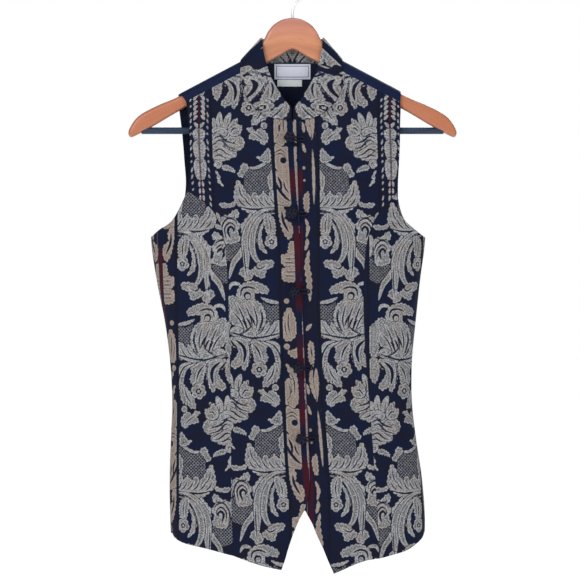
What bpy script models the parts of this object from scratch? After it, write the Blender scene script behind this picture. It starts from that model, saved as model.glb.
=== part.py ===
"""A fitted, sleeveless waistcoat hanging on a wooden coat hanger.

The origin is the point inside the top of the hanger's hook where a rail carries it.
+X is the wearer's left, -Y is the front and +Z is up. Lengths in the tables are millimetres, and
"drop" is the distance below the origin, as a tape hung from the rail would read it.
"""

import math
from collections import namedtuple

import bmesh
import bpy
from mathutils import Vector
from mathutils.bvhtree import BVHTree

MM = 0.001

# Driving sizes of the cloth
CLOTH = 2.0
SEAM_GAP = 0.25
COLLAR_GAP = 0.5
LAYER_GAP = 0.6
RIDGE_RADIUS = 11.0
SHOULDER_SEAM_DROP = 16.0
TUCK_BLEND = 32.0

# The shoulder line as it lies over the hanger's arms
NECK_HALF_WIDTH = 73.0
NECK_POINT_DROP = 123.0
SHOULDER_SLOPE = 0.529

# How the cloth leaves the shoulder line and fills out to the body's depth
FILL_START = 4.0
FILL_LENGTH = 90.0
SIDE_POWER = 3.0

# How fast the shape of an edge fades across a panel's grid, over its width and its height
WIDTH_FADE = 3.0
HEIGHT_FADE = 4.0

# Pieces that share a seam share these counts, so that their edges match point for point
SIDE_ROWS = 18
ARMHOLE_ROWS = 8
RIDGE_ROWS = 9
SHOULDER_COLUMNS = 5
NECK_COLUMNS = 8
SIDE_COLUMNS = 6
COLLAR_ROWS = 3

# Hanger and closures
BOARD_THICKNESS = 12.0
BOARD_EDGE_RADIUS = 5.0
BAR_RADIUS = 4.7
BAR_DROP = 217.0
BAR_HALF_LENGTH = 207.0
HOOK_WIRE_RADIUS = 1.9
HOOK_LOOP_RADIUS = 21.0
HOOK_SHANK_DEPTH = 16.0
FIT_GAP = 0.3
KNOT_RADIUS = 7.6
KNOT_WAIST = 0.955
LOOP_CORD_RADIUS = 1.2

Section = namedtuple("Section", "drop left right front back")
Spot = namedtuple("Spot", "x drop")
Fold = namedtuple("Fold", "top bottom top_x bottom_x width depth")
Rim = namedtuple("Rim", "x y drop")

# Half widths and depths of the hanging body, from the shoulders to the hem
BODY = (
    Section(drop=130, left=-188, right=180, front=20, back=22),
    Section(drop=200, left=-192, right=183, front=30, back=25),
    Section(drop=290, left=-195, right=184, front=45, back=29),
    Section(drop=370, left=-194, right=182, front=52, back=31),
    Section(drop=424, left=-186, right=175, front=48, back=30),
    Section(drop=479, left=-175, right=169, front=41, back=28),
    Section(drop=533, left=-168, right=164, front=38, back=27),
    Section(drop=588, left=-165, right=164, front=40, back=28),
    Section(drop=642, left=-167, right=170, front=44, back=31),
    Section(drop=696, left=-169, right=178, front=47, back=33),
    Section(drop=751, left=-168, right=182, front=50, back=35),
    Section(drop=820, left=-165, right=180, front=52, back=36),
)

# Outlines as they lie in the front view, named by the wearer's side
RIGHT_PRINCESS_SEAM = (
    Spot(-80, 796),
    Spot(-83, 720),
    Spot(-84, 588),
    Spot(-86, 499),
    Spot(-88, 425),
    Spot(-93, 364),
    Spot(-100, 342),
    Spot(-111, 325),
    Spot(-127, 311),
    Spot(-143.5, 301),
)
LEFT_PRINCESS_SEAM = (
    Spot(118, 800),
    Spot(116, 750),
    Spot(108, 628),
    Spot(102, 556),
    Spot(98, 499),
    Spot(96.5, 430),
    Spot(100, 377),
    Spot(108, 348),
    Spot(117.5, 331),
    Spot(130, 316),
    Spot(142.5, 303),
)
RIGHT_ARMHOLE_UNDER = (
    Spot(-194, 363),
    Spot(-182, 353),
    Spot(-171, 346.5),
    Spot(-162, 338),
    Spot(-152, 320),
    Spot(-143.5, 301),
)
LEFT_ARMHOLE_UNDER = (
    Spot(142.5, 303),
    Spot(146.5, 324),
    Spot(153, 340),
    Spot(165, 351),
    Spot(174, 358),
    Spot(182, 364),
)
RIGHT_ARMHOLE_FRONT = (
    Spot(-143.5, 301),
    Spot(-139, 268),
    Spot(-141, 220),
    Spot(-145.5, 177.3),
)
LEFT_ARMHOLE_FRONT = (
    Spot(142.5, 303),
    Spot(145, 268),
    Spot(147, 225),
    Spot(147.5, 178.4),
)
RIGHT_ARMHOLE_BACK = (
    Spot(-194, 363),
    Spot(-184, 357),
    Spot(-172, 349),
    Spot(-160, 336),
    Spot(-151, 318),
    Spot(-147, 290),
    Spot(-149, 258),
    Spot(-152, 220),
    Spot(-156, 186),
)
LEFT_ARMHOLE_BACK = (
    Spot(182, 364),
    Spot(173, 358),
    Spot(162, 349),
    Spot(152, 337),
    Spot(146.5, 320),
    Spot(145.5, 290),
    Spot(147, 255),
    Spot(148, 215),
    Spot(149, 182),
)
RIGHT_HEM_SIDE = (
    Spot(-165, 768),
    Spot(-160, 775),
    Spot(-146, 781),
    Spot(-123, 786),
    Spot(-80, 796),
)
RIGHT_HEM_FRONT = (
    Spot(-80, 796),
    Spot(-58, 804),
    Spot(-37, 810),
    Spot(-15, 815),
)
LEFT_HEM_FRONT = (
    Spot(56, 820),
    Spot(67, 815),
    Spot(82, 808.5),
    Spot(100, 802.5),
    Spot(118, 800),
)
LEFT_HEM_SIDE = (
    Spot(118, 800),
    Spot(132, 797),
    Spot(154, 791),
    Spot(169, 782),
    Spot(178, 774),
    Spot(181.5, 766),
)
BACK_HEM = (
    Spot(-165, 768),
    Spot(-140, 758),
    Spot(-90, 746),
    Spot(0, 740),
    Spot(100, 746),
    Spot(158, 757),
    Spot(181.5, 766),
)
# The buttoned edge of the right front, which lies on top, down to its cut-away point
RIGHT_FRONT_EDGE = (
    Spot(-15, 815),
    Spot(-10, 801),
    Spot(-6, 787),
    Spot(0, 769),
    Spot(9, 747),
    Spot(16, 734),
    Spot(22, 715),
    Spot(23.5, 694),
    Spot(22.4, 662),
    Spot(14.3, 486),
    Spot(7.5, 302),
    Spot(4.8, 203.4),
)
# The edge of the left front, which lies beneath
LEFT_FRONT_EDGE = (
    Spot(56, 820),
    Spot(48, 802),
    Spot(41, 785),
    Spot(33, 768),
    Spot(27, 753),
    Spot(20, 740),
    Spot(11, 722),
    Spot(3.5, 700),
    Spot(0, 670),
    Spot(-8.5, 486),
    Spot(-15.5, 302),
    Spot(-18, 203.4),
)
# Neck seam from the shoulder seam to the centre front, and round the back, on the right half
NECK_SEAM_FRONT = (
    Spot(-71.5, 138.2),
    Spot(-67.5, 160),
    Spot(-58.5, 178),
    Spot(-42, 194),
    Spot(-22, 202.4),
    Spot(-0.8, 203.4),
)
# Free edge of the stand collar on the right half, from its front end to the centre back
COLLAR_FRONT_EDGE = (
    Rim(-39.6, -10.4, 108),
    Rim(-36.6, -11.2, 122),
    Rim(-29, -13.5, 145),
    Rim(-15, -19, 170),
    Rim(-1.2, -24, 188),
)
COLLAR_BACK_EDGE = (
    Rim(-39.6, -10.4, 108),
    Rim(-40.3, -10.0, 102.5),
    Rim(-40.8, -8.5, 97),
    Rim(-41.3, -5.0, 92.5),
    Rim(-41.5, 0, 90),
    Rim(-41.3, 4.5, 90.2),
    Rim(-40.6, 8.0, 90.6),
    Rim(-38.6, 10.8, 91),
    Rim(-31, 14.5, 88),
    Rim(-21, 16.5, 85),
    Rim(-11, 17.5, 83.5),
    Rim(0, 18, 83),
)
# Soft folds that the hanging cloth takes: hollows where depth is positive, swells where negative
FRONT_FOLDS = (
    Fold(top=300, bottom=500, top_x=-152, bottom_x=-118, width=16, depth=5.0),
    Fold(top=300, bottom=500, top_x=150, bottom_x=120, width=16, depth=5.0),
    Fold(top=560, bottom=900, top_x=-122, bottom_x=-116, width=18, depth=7.0),
    Fold(top=540, bottom=900, top_x=-48, bottom_x=-40, width=20, depth=-5.0),
    Fold(top=560, bottom=900, top_x=136, bottom_x=148, width=18, depth=7.5),
    Fold(top=600, bottom=900, top_x=66, bottom_x=82, width=18, depth=-5.0),
    Fold(top=150, bottom=330, top_x=-100, bottom_x=-126, width=18, depth=3.0),
    Fold(top=150, bottom=330, top_x=98, bottom_x=124, width=18, depth=3.0),
)
BACK_FOLDS = (
    Fold(top=180, bottom=900, top_x=-62, bottom_x=-78, width=26, depth=8.0),
    Fold(top=180, bottom=900, top_x=60, bottom_x=84, width=26, depth=8.0),
    Fold(top=430, bottom=900, top_x=-6, bottom_x=4, width=30, depth=6.0),
)
# Right half of the hanger's board, from the top of its head round to the middle of its arch
HANGER_OUTLINE = (
    Spot(0, 62),
    Spot(13, 64.3),
    Spot(25.5, 71.5),
    Spot(33.8, 81.5),
    Spot(39.3, 92),
    Spot(54, 108.2),
    Spot(66, 122.6),
    Spot(74, 128.0),
    Spot(112, 146.9),
    Spot(157, 170.7),
    Spot(181, 180.8),
    Spot(203, 191.7),
    Spot(214, 200),
    Spot(221, 209.5),
    Spot(225, 219),
    Spot(222.5, 225.5),
    Spot(214, 223.2),
    Spot(186, 208),
    Spot(157, 190.8),
    Spot(110, 165),
    Spot(60, 137.8),
    Spot(20, 115.8),
    Spot(6, 107.4),
)
HANGER_POINTS_PER_SPAN = 1
ARCH_TOP_DROP = 105.4

# Where the knot buttons sit, down the buttoned edge, and how far inside that edge
KNOT_DROPS = (230.0, 332.5, 437.0, 541.5, 638.0)
KNOT_INSET = 9.5

# Labels inside the back of the neck: width, height, middle and top
LABEL_WIDTH = 50.0
LABEL_HEIGHT = 21.0
LABEL_TOP = 124.5
TAG_WIDTH = 34.0
TAG_HEIGHT = 9.0
TAG_MIDDLE = -4.0
LABEL_THICKNESS = 0.7
LABEL_GAP = 0.5

COLOURS = {
    "brocade": ((0.13, 0.13, 0.16), 0.7, 0.0),
    "lining": ((0.012, 0.018, 0.05), 0.45, 0.0),
    "label": ((0.72, 0.74, 0.82), 0.7, 0.0),
    "knot": ((0.008, 0.01, 0.03), 0.5, 0.0),
    "wood": ((0.62, 0.3, 0.16), 0.35, 0.0),
    "bar": ((0.06, 0.09, 0.17), 0.4, 0.0),
    "steel": ((0.7, 0.7, 0.72), 0.25, 1.0),
}

ARC_EXCESS = RIDGE_RADIUS * (math.pi / 2 - 1)
SHOULDER_SEAM_REACH = SHOULDER_SEAM_DROP + ARC_EXCESS


def clear_scene():
    """Removes whatever the file opened with."""
    for item in list(bpy.data.objects):
        bpy.data.objects.remove(item)


def make_collection(name):
    """A collection for the finished pieces or for the cutters."""
    found = bpy.data.collections.new(name)
    bpy.context.scene.collection.children.link(found)
    return found


def material(name):
    """The Principled material of that name."""
    found = bpy.data.materials.get(name)
    if found:
        return found
    colour, roughness, metallic = COLOURS[name]
    made = bpy.data.materials.new(name)
    made.use_nodes = True
    shader = made.node_tree.nodes["Principled BSDF"]
    shader.inputs["Base Color"].default_value = (*colour, 1.0)
    shader.inputs["Roughness"].default_value = roughness
    shader.inputs["Metallic"].default_value = metallic
    return made


def place(x, y, drop):
    """A point in the part's frame from millimetres and a drop."""
    return Vector((x * MM, y * MM, -drop * MM))


def smooth_step(share):
    """Eases from 0 to 1."""
    held = min(1.0, max(0.0, share))
    return held * held * (3.0 - 2.0 * held)


def spline(before, start, end, after, share):
    """One coordinate of a Catmull-Rom span."""
    a = 2.0 * start
    b = end - before
    c = 2.0 * before - 5.0 * start + 4.0 * end - after
    d = -before + 3.0 * start - 3.0 * end + after
    return 0.5 * (a + b * share + c * share**2 + d * share**3)


def read(table, drop, column):
    """One column of a table of sections, smoothly between its rows."""
    if drop <= table[0].drop:
        return getattr(table[0], column)
    if drop >= table[-1].drop:
        return getattr(table[-1], column)
    row = max(i for i, section in enumerate(table[:-1]) if section.drop <= drop)
    values = [getattr(table[min(max(row + k, 0), len(table) - 1)], column) for k in (-1, 0, 1, 2)]
    span = table[row + 1].drop - table[row].drop
    return spline(*values, (drop - table[row].drop) / span)


def fine_line(spots, steps=12):
    """Many points on a smooth curve through the spots."""
    line = []
    last = len(spots) - 1
    for i in range(last):
        near = [spots[min(max(i + k, 0), last)] for k in (-1, 0, 1, 2)]
        for step in range(steps):
            share = step / steps
            line.append(tuple(spline(*column, share) for column in zip(*near)))
    line.append(tuple(spots[last]))
    return line


def at_shares(spots, shares):
    """Points at these shares of the length of a smooth curve through the spots."""
    line = fine_line(spots)
    lengths = [0.0]
    for a, b in zip(line, line[1:]):
        lengths.append(lengths[-1] + math.dist(a, b))
    found = []
    for share in shares:
        wanted = share * lengths[-1]
        i = max(k for k in range(len(lengths) - 1) if lengths[k] <= wanted + 1e-9)
        span = max(lengths[i + 1] - lengths[i], 1e-9)
        part = (wanted - lengths[i]) / span
        found.append(tuple(a + (b - a) * part for a, b in zip(line[i], line[i + 1])))
    return found


def evenly(count):
    """Shares from 0 to 1."""
    return [i / count for i in range(count + 1)]


def edge_x(edge, drop):
    """Where a front edge lies at a drop."""
    rising = sorted(edge, key=lambda spot: spot.drop)
    for a, b in zip(rising, rising[1:]):
        if a.drop <= drop <= b.drop:
            return a.x + (b.x - a.x) * (drop - a.drop) / (b.drop - a.drop)
    return rising[0].x if drop < rising[0].drop else rising[-1].x


def ridge_drop(x):
    """Drop of the shoulder line, which also runs on across the neck as a guide."""
    return NECK_POINT_DROP + SHOULDER_SLOPE * (abs(x) - NECK_HALF_WIDTH)


def height_of(drop):
    """A drop as the length along the cloth that the surface functions take."""
    return drop + ARC_EXCESS


def across(x, height):
    """A lateral position as a share of the way round to the side seam, from -1 to 1."""
    drop = height - ARC_EXCESS
    half = read(BODY, drop, "right") if x > 0 else -read(BODY, drop, "left")
    return math.asin(min(1.0, max(-1.0, x / half))) / (math.pi / 2)


def fold_depth(folds, x, drop):
    """How far the folds push the cloth in at a point of the front view."""
    total = 0.0
    for fold in folds:
        share = (drop - fold.top) / (fold.bottom - fold.top)
        if not 0.0 < share < 1.0:
            continue
        middle = fold.top_x + (fold.bottom_x - fold.top_x) * share
        if fold.bottom > BODY[-1].drop:
            grown = smooth_step(share * 1.6)
        else:
            grown = math.sin(math.pi * share)
        total += fold.depth * grown * math.exp(-(((x - middle) / fold.width) ** 2))
    return total


def body_point(turn, height, back_sheet):
    """A point of the cloth's outer face.

    turn runs from -1 at the right side seam to 1 at the left one. height is the length along the
    cloth below the shoulder line's guide; on the back sheet it may also lie above the shoulder
    line, where the cloth has come over to the front.
    """
    drop_guess = height - ARC_EXCESS
    ratio = math.sin(turn * math.pi / 2)
    half = read(BODY, drop_guess, "right") if ratio > 0 else -read(BODY, drop_guess, "left")
    x = ratio * half
    reach = height - ridge_drop(x)
    in_front = reach < 0 or not back_sheet
    reach = abs(reach)
    if reach < RIDGE_RADIUS * math.pi / 2:
        below = RIDGE_RADIUS * (1 - math.cos(reach / RIDGE_RADIUS))
        base = RIDGE_RADIUS * math.sin(reach / RIDGE_RADIUS)
    else:
        below = reach - ARC_EXCESS
        base = RIDGE_RADIUS
    drop = ridge_drop(x) + below
    round_off = math.sqrt(max(0.0, 1.0 - abs(ratio) ** SIDE_POWER))
    depth = read(BODY, drop, "front" if in_front else "back")
    folds = fold_depth(FRONT_FOLDS if in_front else BACK_FOLDS, x, drop)
    full = (depth - folds) * round_off
    y = base + (full - RIDGE_RADIUS) * smooth_step((below - FILL_START) / FILL_LENGTH)
    return place(x, -y if in_front else y, drop)


def tuck(x, drop):
    """How far the under layer lies behind the buttoned edge of the upper one."""
    past_edge = x - edge_x(RIGHT_FRONT_EDGE, min(drop, 734.0))
    return (CLOTH + LAYER_GAP) * (1.0 - smooth_step((past_edge - 4.0) / TUCK_BLEND))


def front_surface(turn, height):
    """The outer face of the front."""
    return body_point(turn, height, False)


def under_surface(turn, height):
    """The outer face of the left front, which passes beneath the right one."""
    point = body_point(turn, height, False)
    point.y += tuck(point.x / MM, -point.z / MM) * MM
    return point


def back_surface(turn, height):
    """The outer face of the back, which comes over the shoulders."""
    return body_point(turn, height, True)


def outward(surface, turn, height):
    """The outward normal of a surface."""
    small_turn, small_height = 1e-4, 1e-2
    ends = max(-1.0, turn - small_turn), min(1.0, turn + small_turn)
    along_turn = surface(ends[1], height) - surface(ends[0], height)
    along_height = surface(turn, height + small_height) - surface(turn, height - small_height)
    normal = along_turn.cross(along_height).normalized()
    return normal if surface is back_surface else -normal


def to_sheet(spots):
    """Front-view points as positions on the cloth."""
    found = []
    for x, drop in spots:
        height = height_of(drop)
        found.append((across(x, height), height))
    return found


def coons(bottom, top, left, right):
    """A grid of cloth positions filled in from its four edges, row by row from the hem up."""
    columns = len(bottom) - 1
    rows = len(left) - 1
    climb = left[0][1] - left[rows][1]
    grid = []
    for j in range(rows + 1):
        v = (left[0][1] - left[j][1]) / climb
        row = []
        for i in range(columns + 1):
            u = i / columns
            spot = []
            for k in (0, 1):
                low = (1 - u) * bottom[0][k] + u * bottom[columns][k]
                high = (1 - u) * top[0][k] + u * top[columns][k]
                left_line = (1 - v) * bottom[0][k] + v * top[0][k]
                right_line = (1 - v) * bottom[columns][k] + v * top[columns][k]
                value = (1 - v) * low + v * high
                value += (1 - v) ** HEIGHT_FADE * (bottom[i][k] - low)
                value += v**HEIGHT_FADE * (top[i][k] - high)
                value += (1 - u) ** WIDTH_FADE * (left[j][k] - left_line)
                value += u**WIDTH_FADE * (right[j][k] - right_line)
                spot.append(value)
            row.append(tuple(spot))
        grid.append(row)
    return grid


def edge_shifts(line, normals, hand):
    """Unit moves for the points of one edge, square to it and along the cloth."""
    sides = []
    for a, b, normal in zip(line, line[1:], normals):
        sides.append(normal.cross(b - a).normalized() * hand)
    shifts = [sides[0]]
    for before, after in zip(sides, sides[1:]):
        shifts.append((before + after) / (1.0 + before.dot(after)))
    shifts.append(sides[-1])
    return shifts


def drawn_in(points, normals, gap):
    """The grid with its outer edges moved in from the seams."""
    moved = [[point.copy() for point in row] for row in points]
    last_row, last_column = len(points) - 1, len(points[0]) - 1
    j, i = last_row // 2, last_column // 2
    across_grid = points[j][i + 1] - points[j][i]
    up_grid = points[j + 1][i] - points[j][i]
    hand = 1.0 if across_grid.cross(up_grid).dot(normals[j][i]) > 0 else -1.0
    for j, sign in ((0, hand), (last_row, -hand)):
        for i, shift in enumerate(edge_shifts(points[j], normals[j], sign)):
            moved[j][i] += shift * gap * MM
    for i, sign in ((0, -hand), (last_column, hand)):
        column = [row[i] for row in points]
        column_normals = [row[i] for row in normals]
        for j, shift in enumerate(edge_shifts(column, column_normals, sign)):
            moved[j][i] += shift * gap * MM
    return moved


def wall(name, outer, inner, material_name, collection):
    """One closed cloth wall between two grids of points."""
    mesh = bpy.data.meshes.new(name)
    work = bmesh.new()
    columns, rows = len(outer[0]) - 1, len(outer) - 1
    bmesh.ops.create_grid(work, x_segments=columns, y_segments=rows, size=0.5)
    mark = work.verts.layers.int.new("place")
    for vertex in work.verts:
        i = round((vertex.co.x + 0.5) * columns)
        j = round((vertex.co.y + 0.5) * rows)
        vertex[mark] = j * (columns + 1) + i
        vertex.co = outer[j][i]
    made = bmesh.ops.extrude_face_region(work, geom=work.faces[:], use_keep_orig=True)
    for vertex in (item for item in made["geom"] if isinstance(item, bmesh.types.BMVert)):
        j, i = divmod(vertex[mark], columns + 1)
        vertex.co = inner[j][i]
    bmesh.ops.recalc_face_normals(work, faces=work.faces[:])
    work.to_mesh(mesh)
    work.free()
    mesh.shade_smooth()
    mesh.set_sharp_from_angle(angle=math.radians(50))
    mesh.materials.append(material(material_name))
    made_object = bpy.data.objects.new(name, mesh)
    collection.objects.link(made_object)
    return made_object


def panel(name, grid, surface, material_name, collection):
    """A piece of cloth whose outer face follows a surface."""
    points = [[surface(*spot) for spot in row] for row in grid]
    normals = [[outward(surface, *spot) for spot in row] for row in grid]
    points = drawn_in(points, normals, SEAM_GAP)
    inner = [[p - n * CLOTH * MM for p, n in zip(*row)] for row in zip(points, normals)]
    return wall(name, points, inner, material_name, collection)


def level_shares(edge):
    """Shares of the climb up an edge, so that the opposite edge keeps its rows level."""
    climb = edge[0][1] - edge[-1][1]
    return [(edge[0][1] - spot[1]) / climb for spot in edge]


def princess_edge(spots):
    """A princess seam as both of its pieces sample it."""
    return to_sheet(at_shares(spots, evenly(SIDE_ROWS)))


def side_edge(turn, hem_drop, underarm_drop):
    """A side seam as the front and back both sample it."""
    shares = evenly(SIDE_ROWS)
    return [(turn, height_of(hem_drop + (underarm_drop - hem_drop) * s)) for s in shares]


def neck_front(sign):
    """The neck seam from the shoulder seam to the centre front, on one half."""
    spots = at_shares(NECK_SEAM_FRONT, evenly(NECK_COLUMNS))
    return [(sign * -x, drop) for x, drop in spots]


def shoulder_seam(outer_x, inner_x):
    """The shoulder seam, in front of the shoulder line."""
    found = []
    for share in evenly(SHOULDER_COLUMNS):
        x = outer_x + (inner_x - outer_x) * share
        found.append((x, ridge_drop(x) + SHOULDER_SEAM_DROP))
    return found


def make_right_front(collection):
    """The wearer's right centre front, whose edge lies on top and carries the knot buttons."""
    lower = princess_edge(RIGHT_PRINCESS_SEAM)
    upper = to_sheet(at_shares(RIGHT_ARMHOLE_FRONT, evenly(ARMHOLE_ROWS)))
    left = lower + upper[1:]
    right = to_sheet(at_shares(RIGHT_FRONT_EDGE, level_shares(left)))
    shoulder = shoulder_seam(RIGHT_ARMHOLE_FRONT[-1].x, NECK_SEAM_FRONT[0].x)
    corner = RIGHT_FRONT_EDGE[-1]
    top = to_sheet(shoulder + neck_front(-1)[1:] + [tuple(corner)])
    bottom = to_sheet(at_shares(RIGHT_HEM_FRONT, evenly(len(top) - 1)))
    grid = coons(bottom, top, left, right)
    return panel("right_front", grid, front_surface, "brocade", collection)


def make_left_front(collection):
    """The wearer's left centre front, whose edge passes beneath the right one."""
    lower = princess_edge(LEFT_PRINCESS_SEAM)
    upper = to_sheet(at_shares(LEFT_ARMHOLE_FRONT, evenly(ARMHOLE_ROWS)))
    right = lower + upper[1:]
    left = to_sheet(at_shares(LEFT_FRONT_EDGE, level_shares(right)))
    shoulder = shoulder_seam(-NECK_SEAM_FRONT[0].x, LEFT_ARMHOLE_FRONT[-1].x)
    neck = neck_front(1)[::-1]
    top = to_sheet([tuple(LEFT_FRONT_EDGE[-1])] + neck + shoulder[1:])
    bottom = to_sheet(at_shares(LEFT_HEM_FRONT, evenly(len(top) - 1)))
    grid = coons(bottom, top, left, right)
    return panel("left_front", grid, under_surface, "brocade", collection)


def make_side_fronts(collection):
    """The two panels between the princess seams and the side seams."""
    hem, underarm = RIGHT_HEM_SIDE[0], RIGHT_ARMHOLE_UNDER[0]
    left = side_edge(-1.0, hem.drop, underarm.drop)
    right = princess_edge(RIGHT_PRINCESS_SEAM)
    bottom = to_sheet(at_shares(RIGHT_HEM_SIDE, evenly(SIDE_COLUMNS)))
    top = to_sheet(at_shares(RIGHT_ARMHOLE_UNDER, evenly(SIDE_COLUMNS)))
    bottom[0], top[0] = left[0], left[-1]
    panel("right_side_front", coons(bottom, top, left, right), front_surface, "brocade", collection)

    hem, underarm = LEFT_HEM_SIDE[-1], LEFT_ARMHOLE_UNDER[-1]
    right = side_edge(1.0, hem.drop, underarm.drop)
    left = princess_edge(LEFT_PRINCESS_SEAM)
    bottom = to_sheet(at_shares(LEFT_HEM_SIDE, evenly(SIDE_COLUMNS)))
    top = to_sheet(at_shares(LEFT_ARMHOLE_UNDER, evenly(SIDE_COLUMNS)))
    bottom[-1], top[-1] = right[-1 - SIDE_ROWS], right[-1]
    panel("left_side_front", coons(bottom, top, left, right), front_surface, "brocade", collection)


def back_armhole_edge(spots, tip_x, seam_x, turn, hem_drop):
    """One long edge of the back: side seam, armhole, then over the shoulder to its seam."""
    edge = side_edge(turn, hem_drop, spots[0].drop)
    edge += to_sheet(at_shares(spots, evenly(ARMHOLE_ROWS)))[1:]
    start = height_of(spots[-1].drop)
    end = ridge_drop(seam_x) - SHOULDER_SEAM_REACH
    start_x = spots[-1].x
    ridge_share = (start - ridge_drop(tip_x)) / (start - end)
    for share in evenly(RIDGE_ROWS)[1:]:
        height = start + (end - start) * share
        if share < ridge_share:
            x = start_x + (tip_x - start_x) * share / ridge_share
        else:
            x = tip_x + (seam_x - tip_x) * (share - ridge_share) / (1 - ridge_share)
        edge.append((across(x, height), height))
    return edge


def back_neck_half():
    """The neck seam from the right shoulder seam over the shoulder line to the centre back."""
    reaches = (
        (-71.5, -SHOULDER_SEAM_REACH),
        (-71.2, -16.5),
        (-70.9, -11.0),
        (-70.5, -5.5),
        (-70.0, 0.0),
        (-69.0, 5.0),
        (-67.6, 10.0),
        (-66.0, 15.0),
    )
    found = [(x, ridge_drop(x) + reach) for x, reach in reaches]
    for x, drop in ((-54.0, 127.0), (-36.0, 124.5), (-18.0, 122.6), (0.0, 122.0)):
        found.append((x, height_of(drop)))
    return [(across(x, height), height) for x, height in found]


def make_back(collection):
    """The plain back, cut in one piece with the strips that come over the shoulders."""
    half = back_neck_half()
    neck = half + [(-turn, height) for turn, height in half[-2::-1]]
    right_seam_x = RIGHT_ARMHOLE_FRONT[-1].x
    left_seam_x = LEFT_ARMHOLE_FRONT[-1].x
    shoulders = []
    for outer_x, sign in ((right_seam_x, -1), (left_seam_x, 1)):
        inner_x = sign * -NECK_SEAM_FRONT[0].x
        line = []
        for share in evenly(SHOULDER_COLUMNS):
            x = outer_x + (inner_x - outer_x) * share
            height = ridge_drop(x) - SHOULDER_SEAM_REACH
            line.append((across(x, height), height))
        shoulders.append(line)
    # The neck's own ends replace the shoulder seams' inner ends, so that the three lines join
    top = shoulders[0][:-1] + neck + shoulders[1][::-1][1:]
    left = back_armhole_edge(RIGHT_ARMHOLE_BACK, -157.0, right_seam_x, -1.0, BACK_HEM[0].drop)
    right = back_armhole_edge(LEFT_ARMHOLE_BACK, 149.0, left_seam_x, 1.0, BACK_HEM[-1].drop)
    bottom = to_sheet(at_shares(BACK_HEM, evenly(len(top) - 1)))
    bottom[0], bottom[-1] = left[0], right[0]
    top[0], top[-1] = left[-1], right[-1]
    return panel("back", coons(bottom, top, left, right), back_surface, "lining", collection)


def inner_faces(piece):
    """A tree of the piece's faces, to lay something on them."""
    work = bmesh.new()
    work.from_mesh(piece.data)
    bmesh.ops.triangulate(work, faces=work.faces[:])
    tree = BVHTree.FromBMesh(work)
    work.free()
    return tree


def collar_edges():
    """The collar's neck seam and its free edge, from the right end round to the left one."""
    seam_front_right = [front_surface(*spot) for spot in to_sheet(neck_front(-1)[::-1])]
    seam_front_left = [under_surface(*spot) for spot in to_sheet(neck_front(1))]
    half = back_neck_half()
    neck = half + [(-turn, height) for turn, height in half[-2::-1]]
    seam = seam_front_right + [back_surface(*spot) for spot in neck[1:-1]] + seam_front_left
    front = at_shares(COLLAR_FRONT_EDGE, evenly(NECK_COLUMNS))[::-1]
    free_right = [place(*spot) for spot in front[:-1]] + [place(*rim) for rim in COLLAR_BACK_EDGE]
    free = free_right + [Vector((-p.x, p.y, p.z)) for p in free_right[-2::-1]]
    for point in free[-NECK_COLUMNS - 1 :]:
        point.y += tuck(point.x / MM, -point.z / MM) * MM
    return seam, free


def grid_normals(points):
    """Normals of a grid from its own rows and columns."""
    rows, columns = len(points) - 1, len(points[0]) - 1
    found = []
    for j in range(rows + 1):
        line = []
        for i in range(columns + 1):
            along = points[j][min(i + 1, columns)] - points[j][max(i - 1, 0)]
            up = points[min(j + 1, rows)][i] - points[max(j - 1, 0)][i]
            line.append(along.cross(up).normalized())
        found.append(line)
    return found


def make_collar(collection):
    """The stand collar, which leans in over the hanger's head."""
    seam, free = collar_edges()
    points = []
    for j in range(COLLAR_ROWS + 1):
        share = j / COLLAR_ROWS
        points.append([a.lerp(b, share) for a, b in zip(seam, free)])
    normals = grid_normals(points)
    outer = drawn_in(points, normals, COLLAR_GAP)
    inner = [[p - n * CLOTH * MM for p, n in zip(*row)] for row in zip(outer, normals)]
    return wall("collar", outer, inner, "brocade", collection)


def sewn_on(name, tree, middle, width, top_drop, height, columns, rows, collection):
    """A flat woven piece that lies on the inside of the back."""
    layers = ([], [])
    for j in range(rows + 1):
        drop = top_drop + height * (1 - j / rows)
        lines = ([], [])
        for i in range(columns + 1):
            x = middle + width * (i / columns - 0.5)
            seat, normal, _, _ = tree.ray_cast(place(x, 0, drop), Vector((0, 1, 0)))
            lines[0].append(seat + normal * LABEL_GAP * MM)
            lines[1].append(seat + normal * (LABEL_GAP + LABEL_THICKNESS) * MM)
        for layer, line in zip(layers, lines):
            layer.append(line)
    return wall(name, *layers, "label", collection)


def make_labels(back, collection):
    """The plain woven label and the plain tag below it, sewn inside the back of the neck."""
    tree = inner_faces(back)
    sewn_on("label", tree, 0.0, LABEL_WIDTH, LABEL_TOP, LABEL_HEIGHT, 10, 6, collection)
    tag_top = LABEL_TOP + LABEL_HEIGHT + SEAM_GAP * 2
    sewn_on("size_tag", tree, TAG_MIDDLE, TAG_WIDTH, tag_top, TAG_HEIGHT, 7, 3, collection)


def knot_place(drop):
    """Middle of a knot's foot on the outer face of the right front."""
    x = edge_x(RIGHT_FRONT_EDGE, drop) - KNOT_INSET
    height = height_of(drop)
    turn = across(x, height)
    return front_surface(turn, height), outward(front_surface, turn, height)


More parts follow.
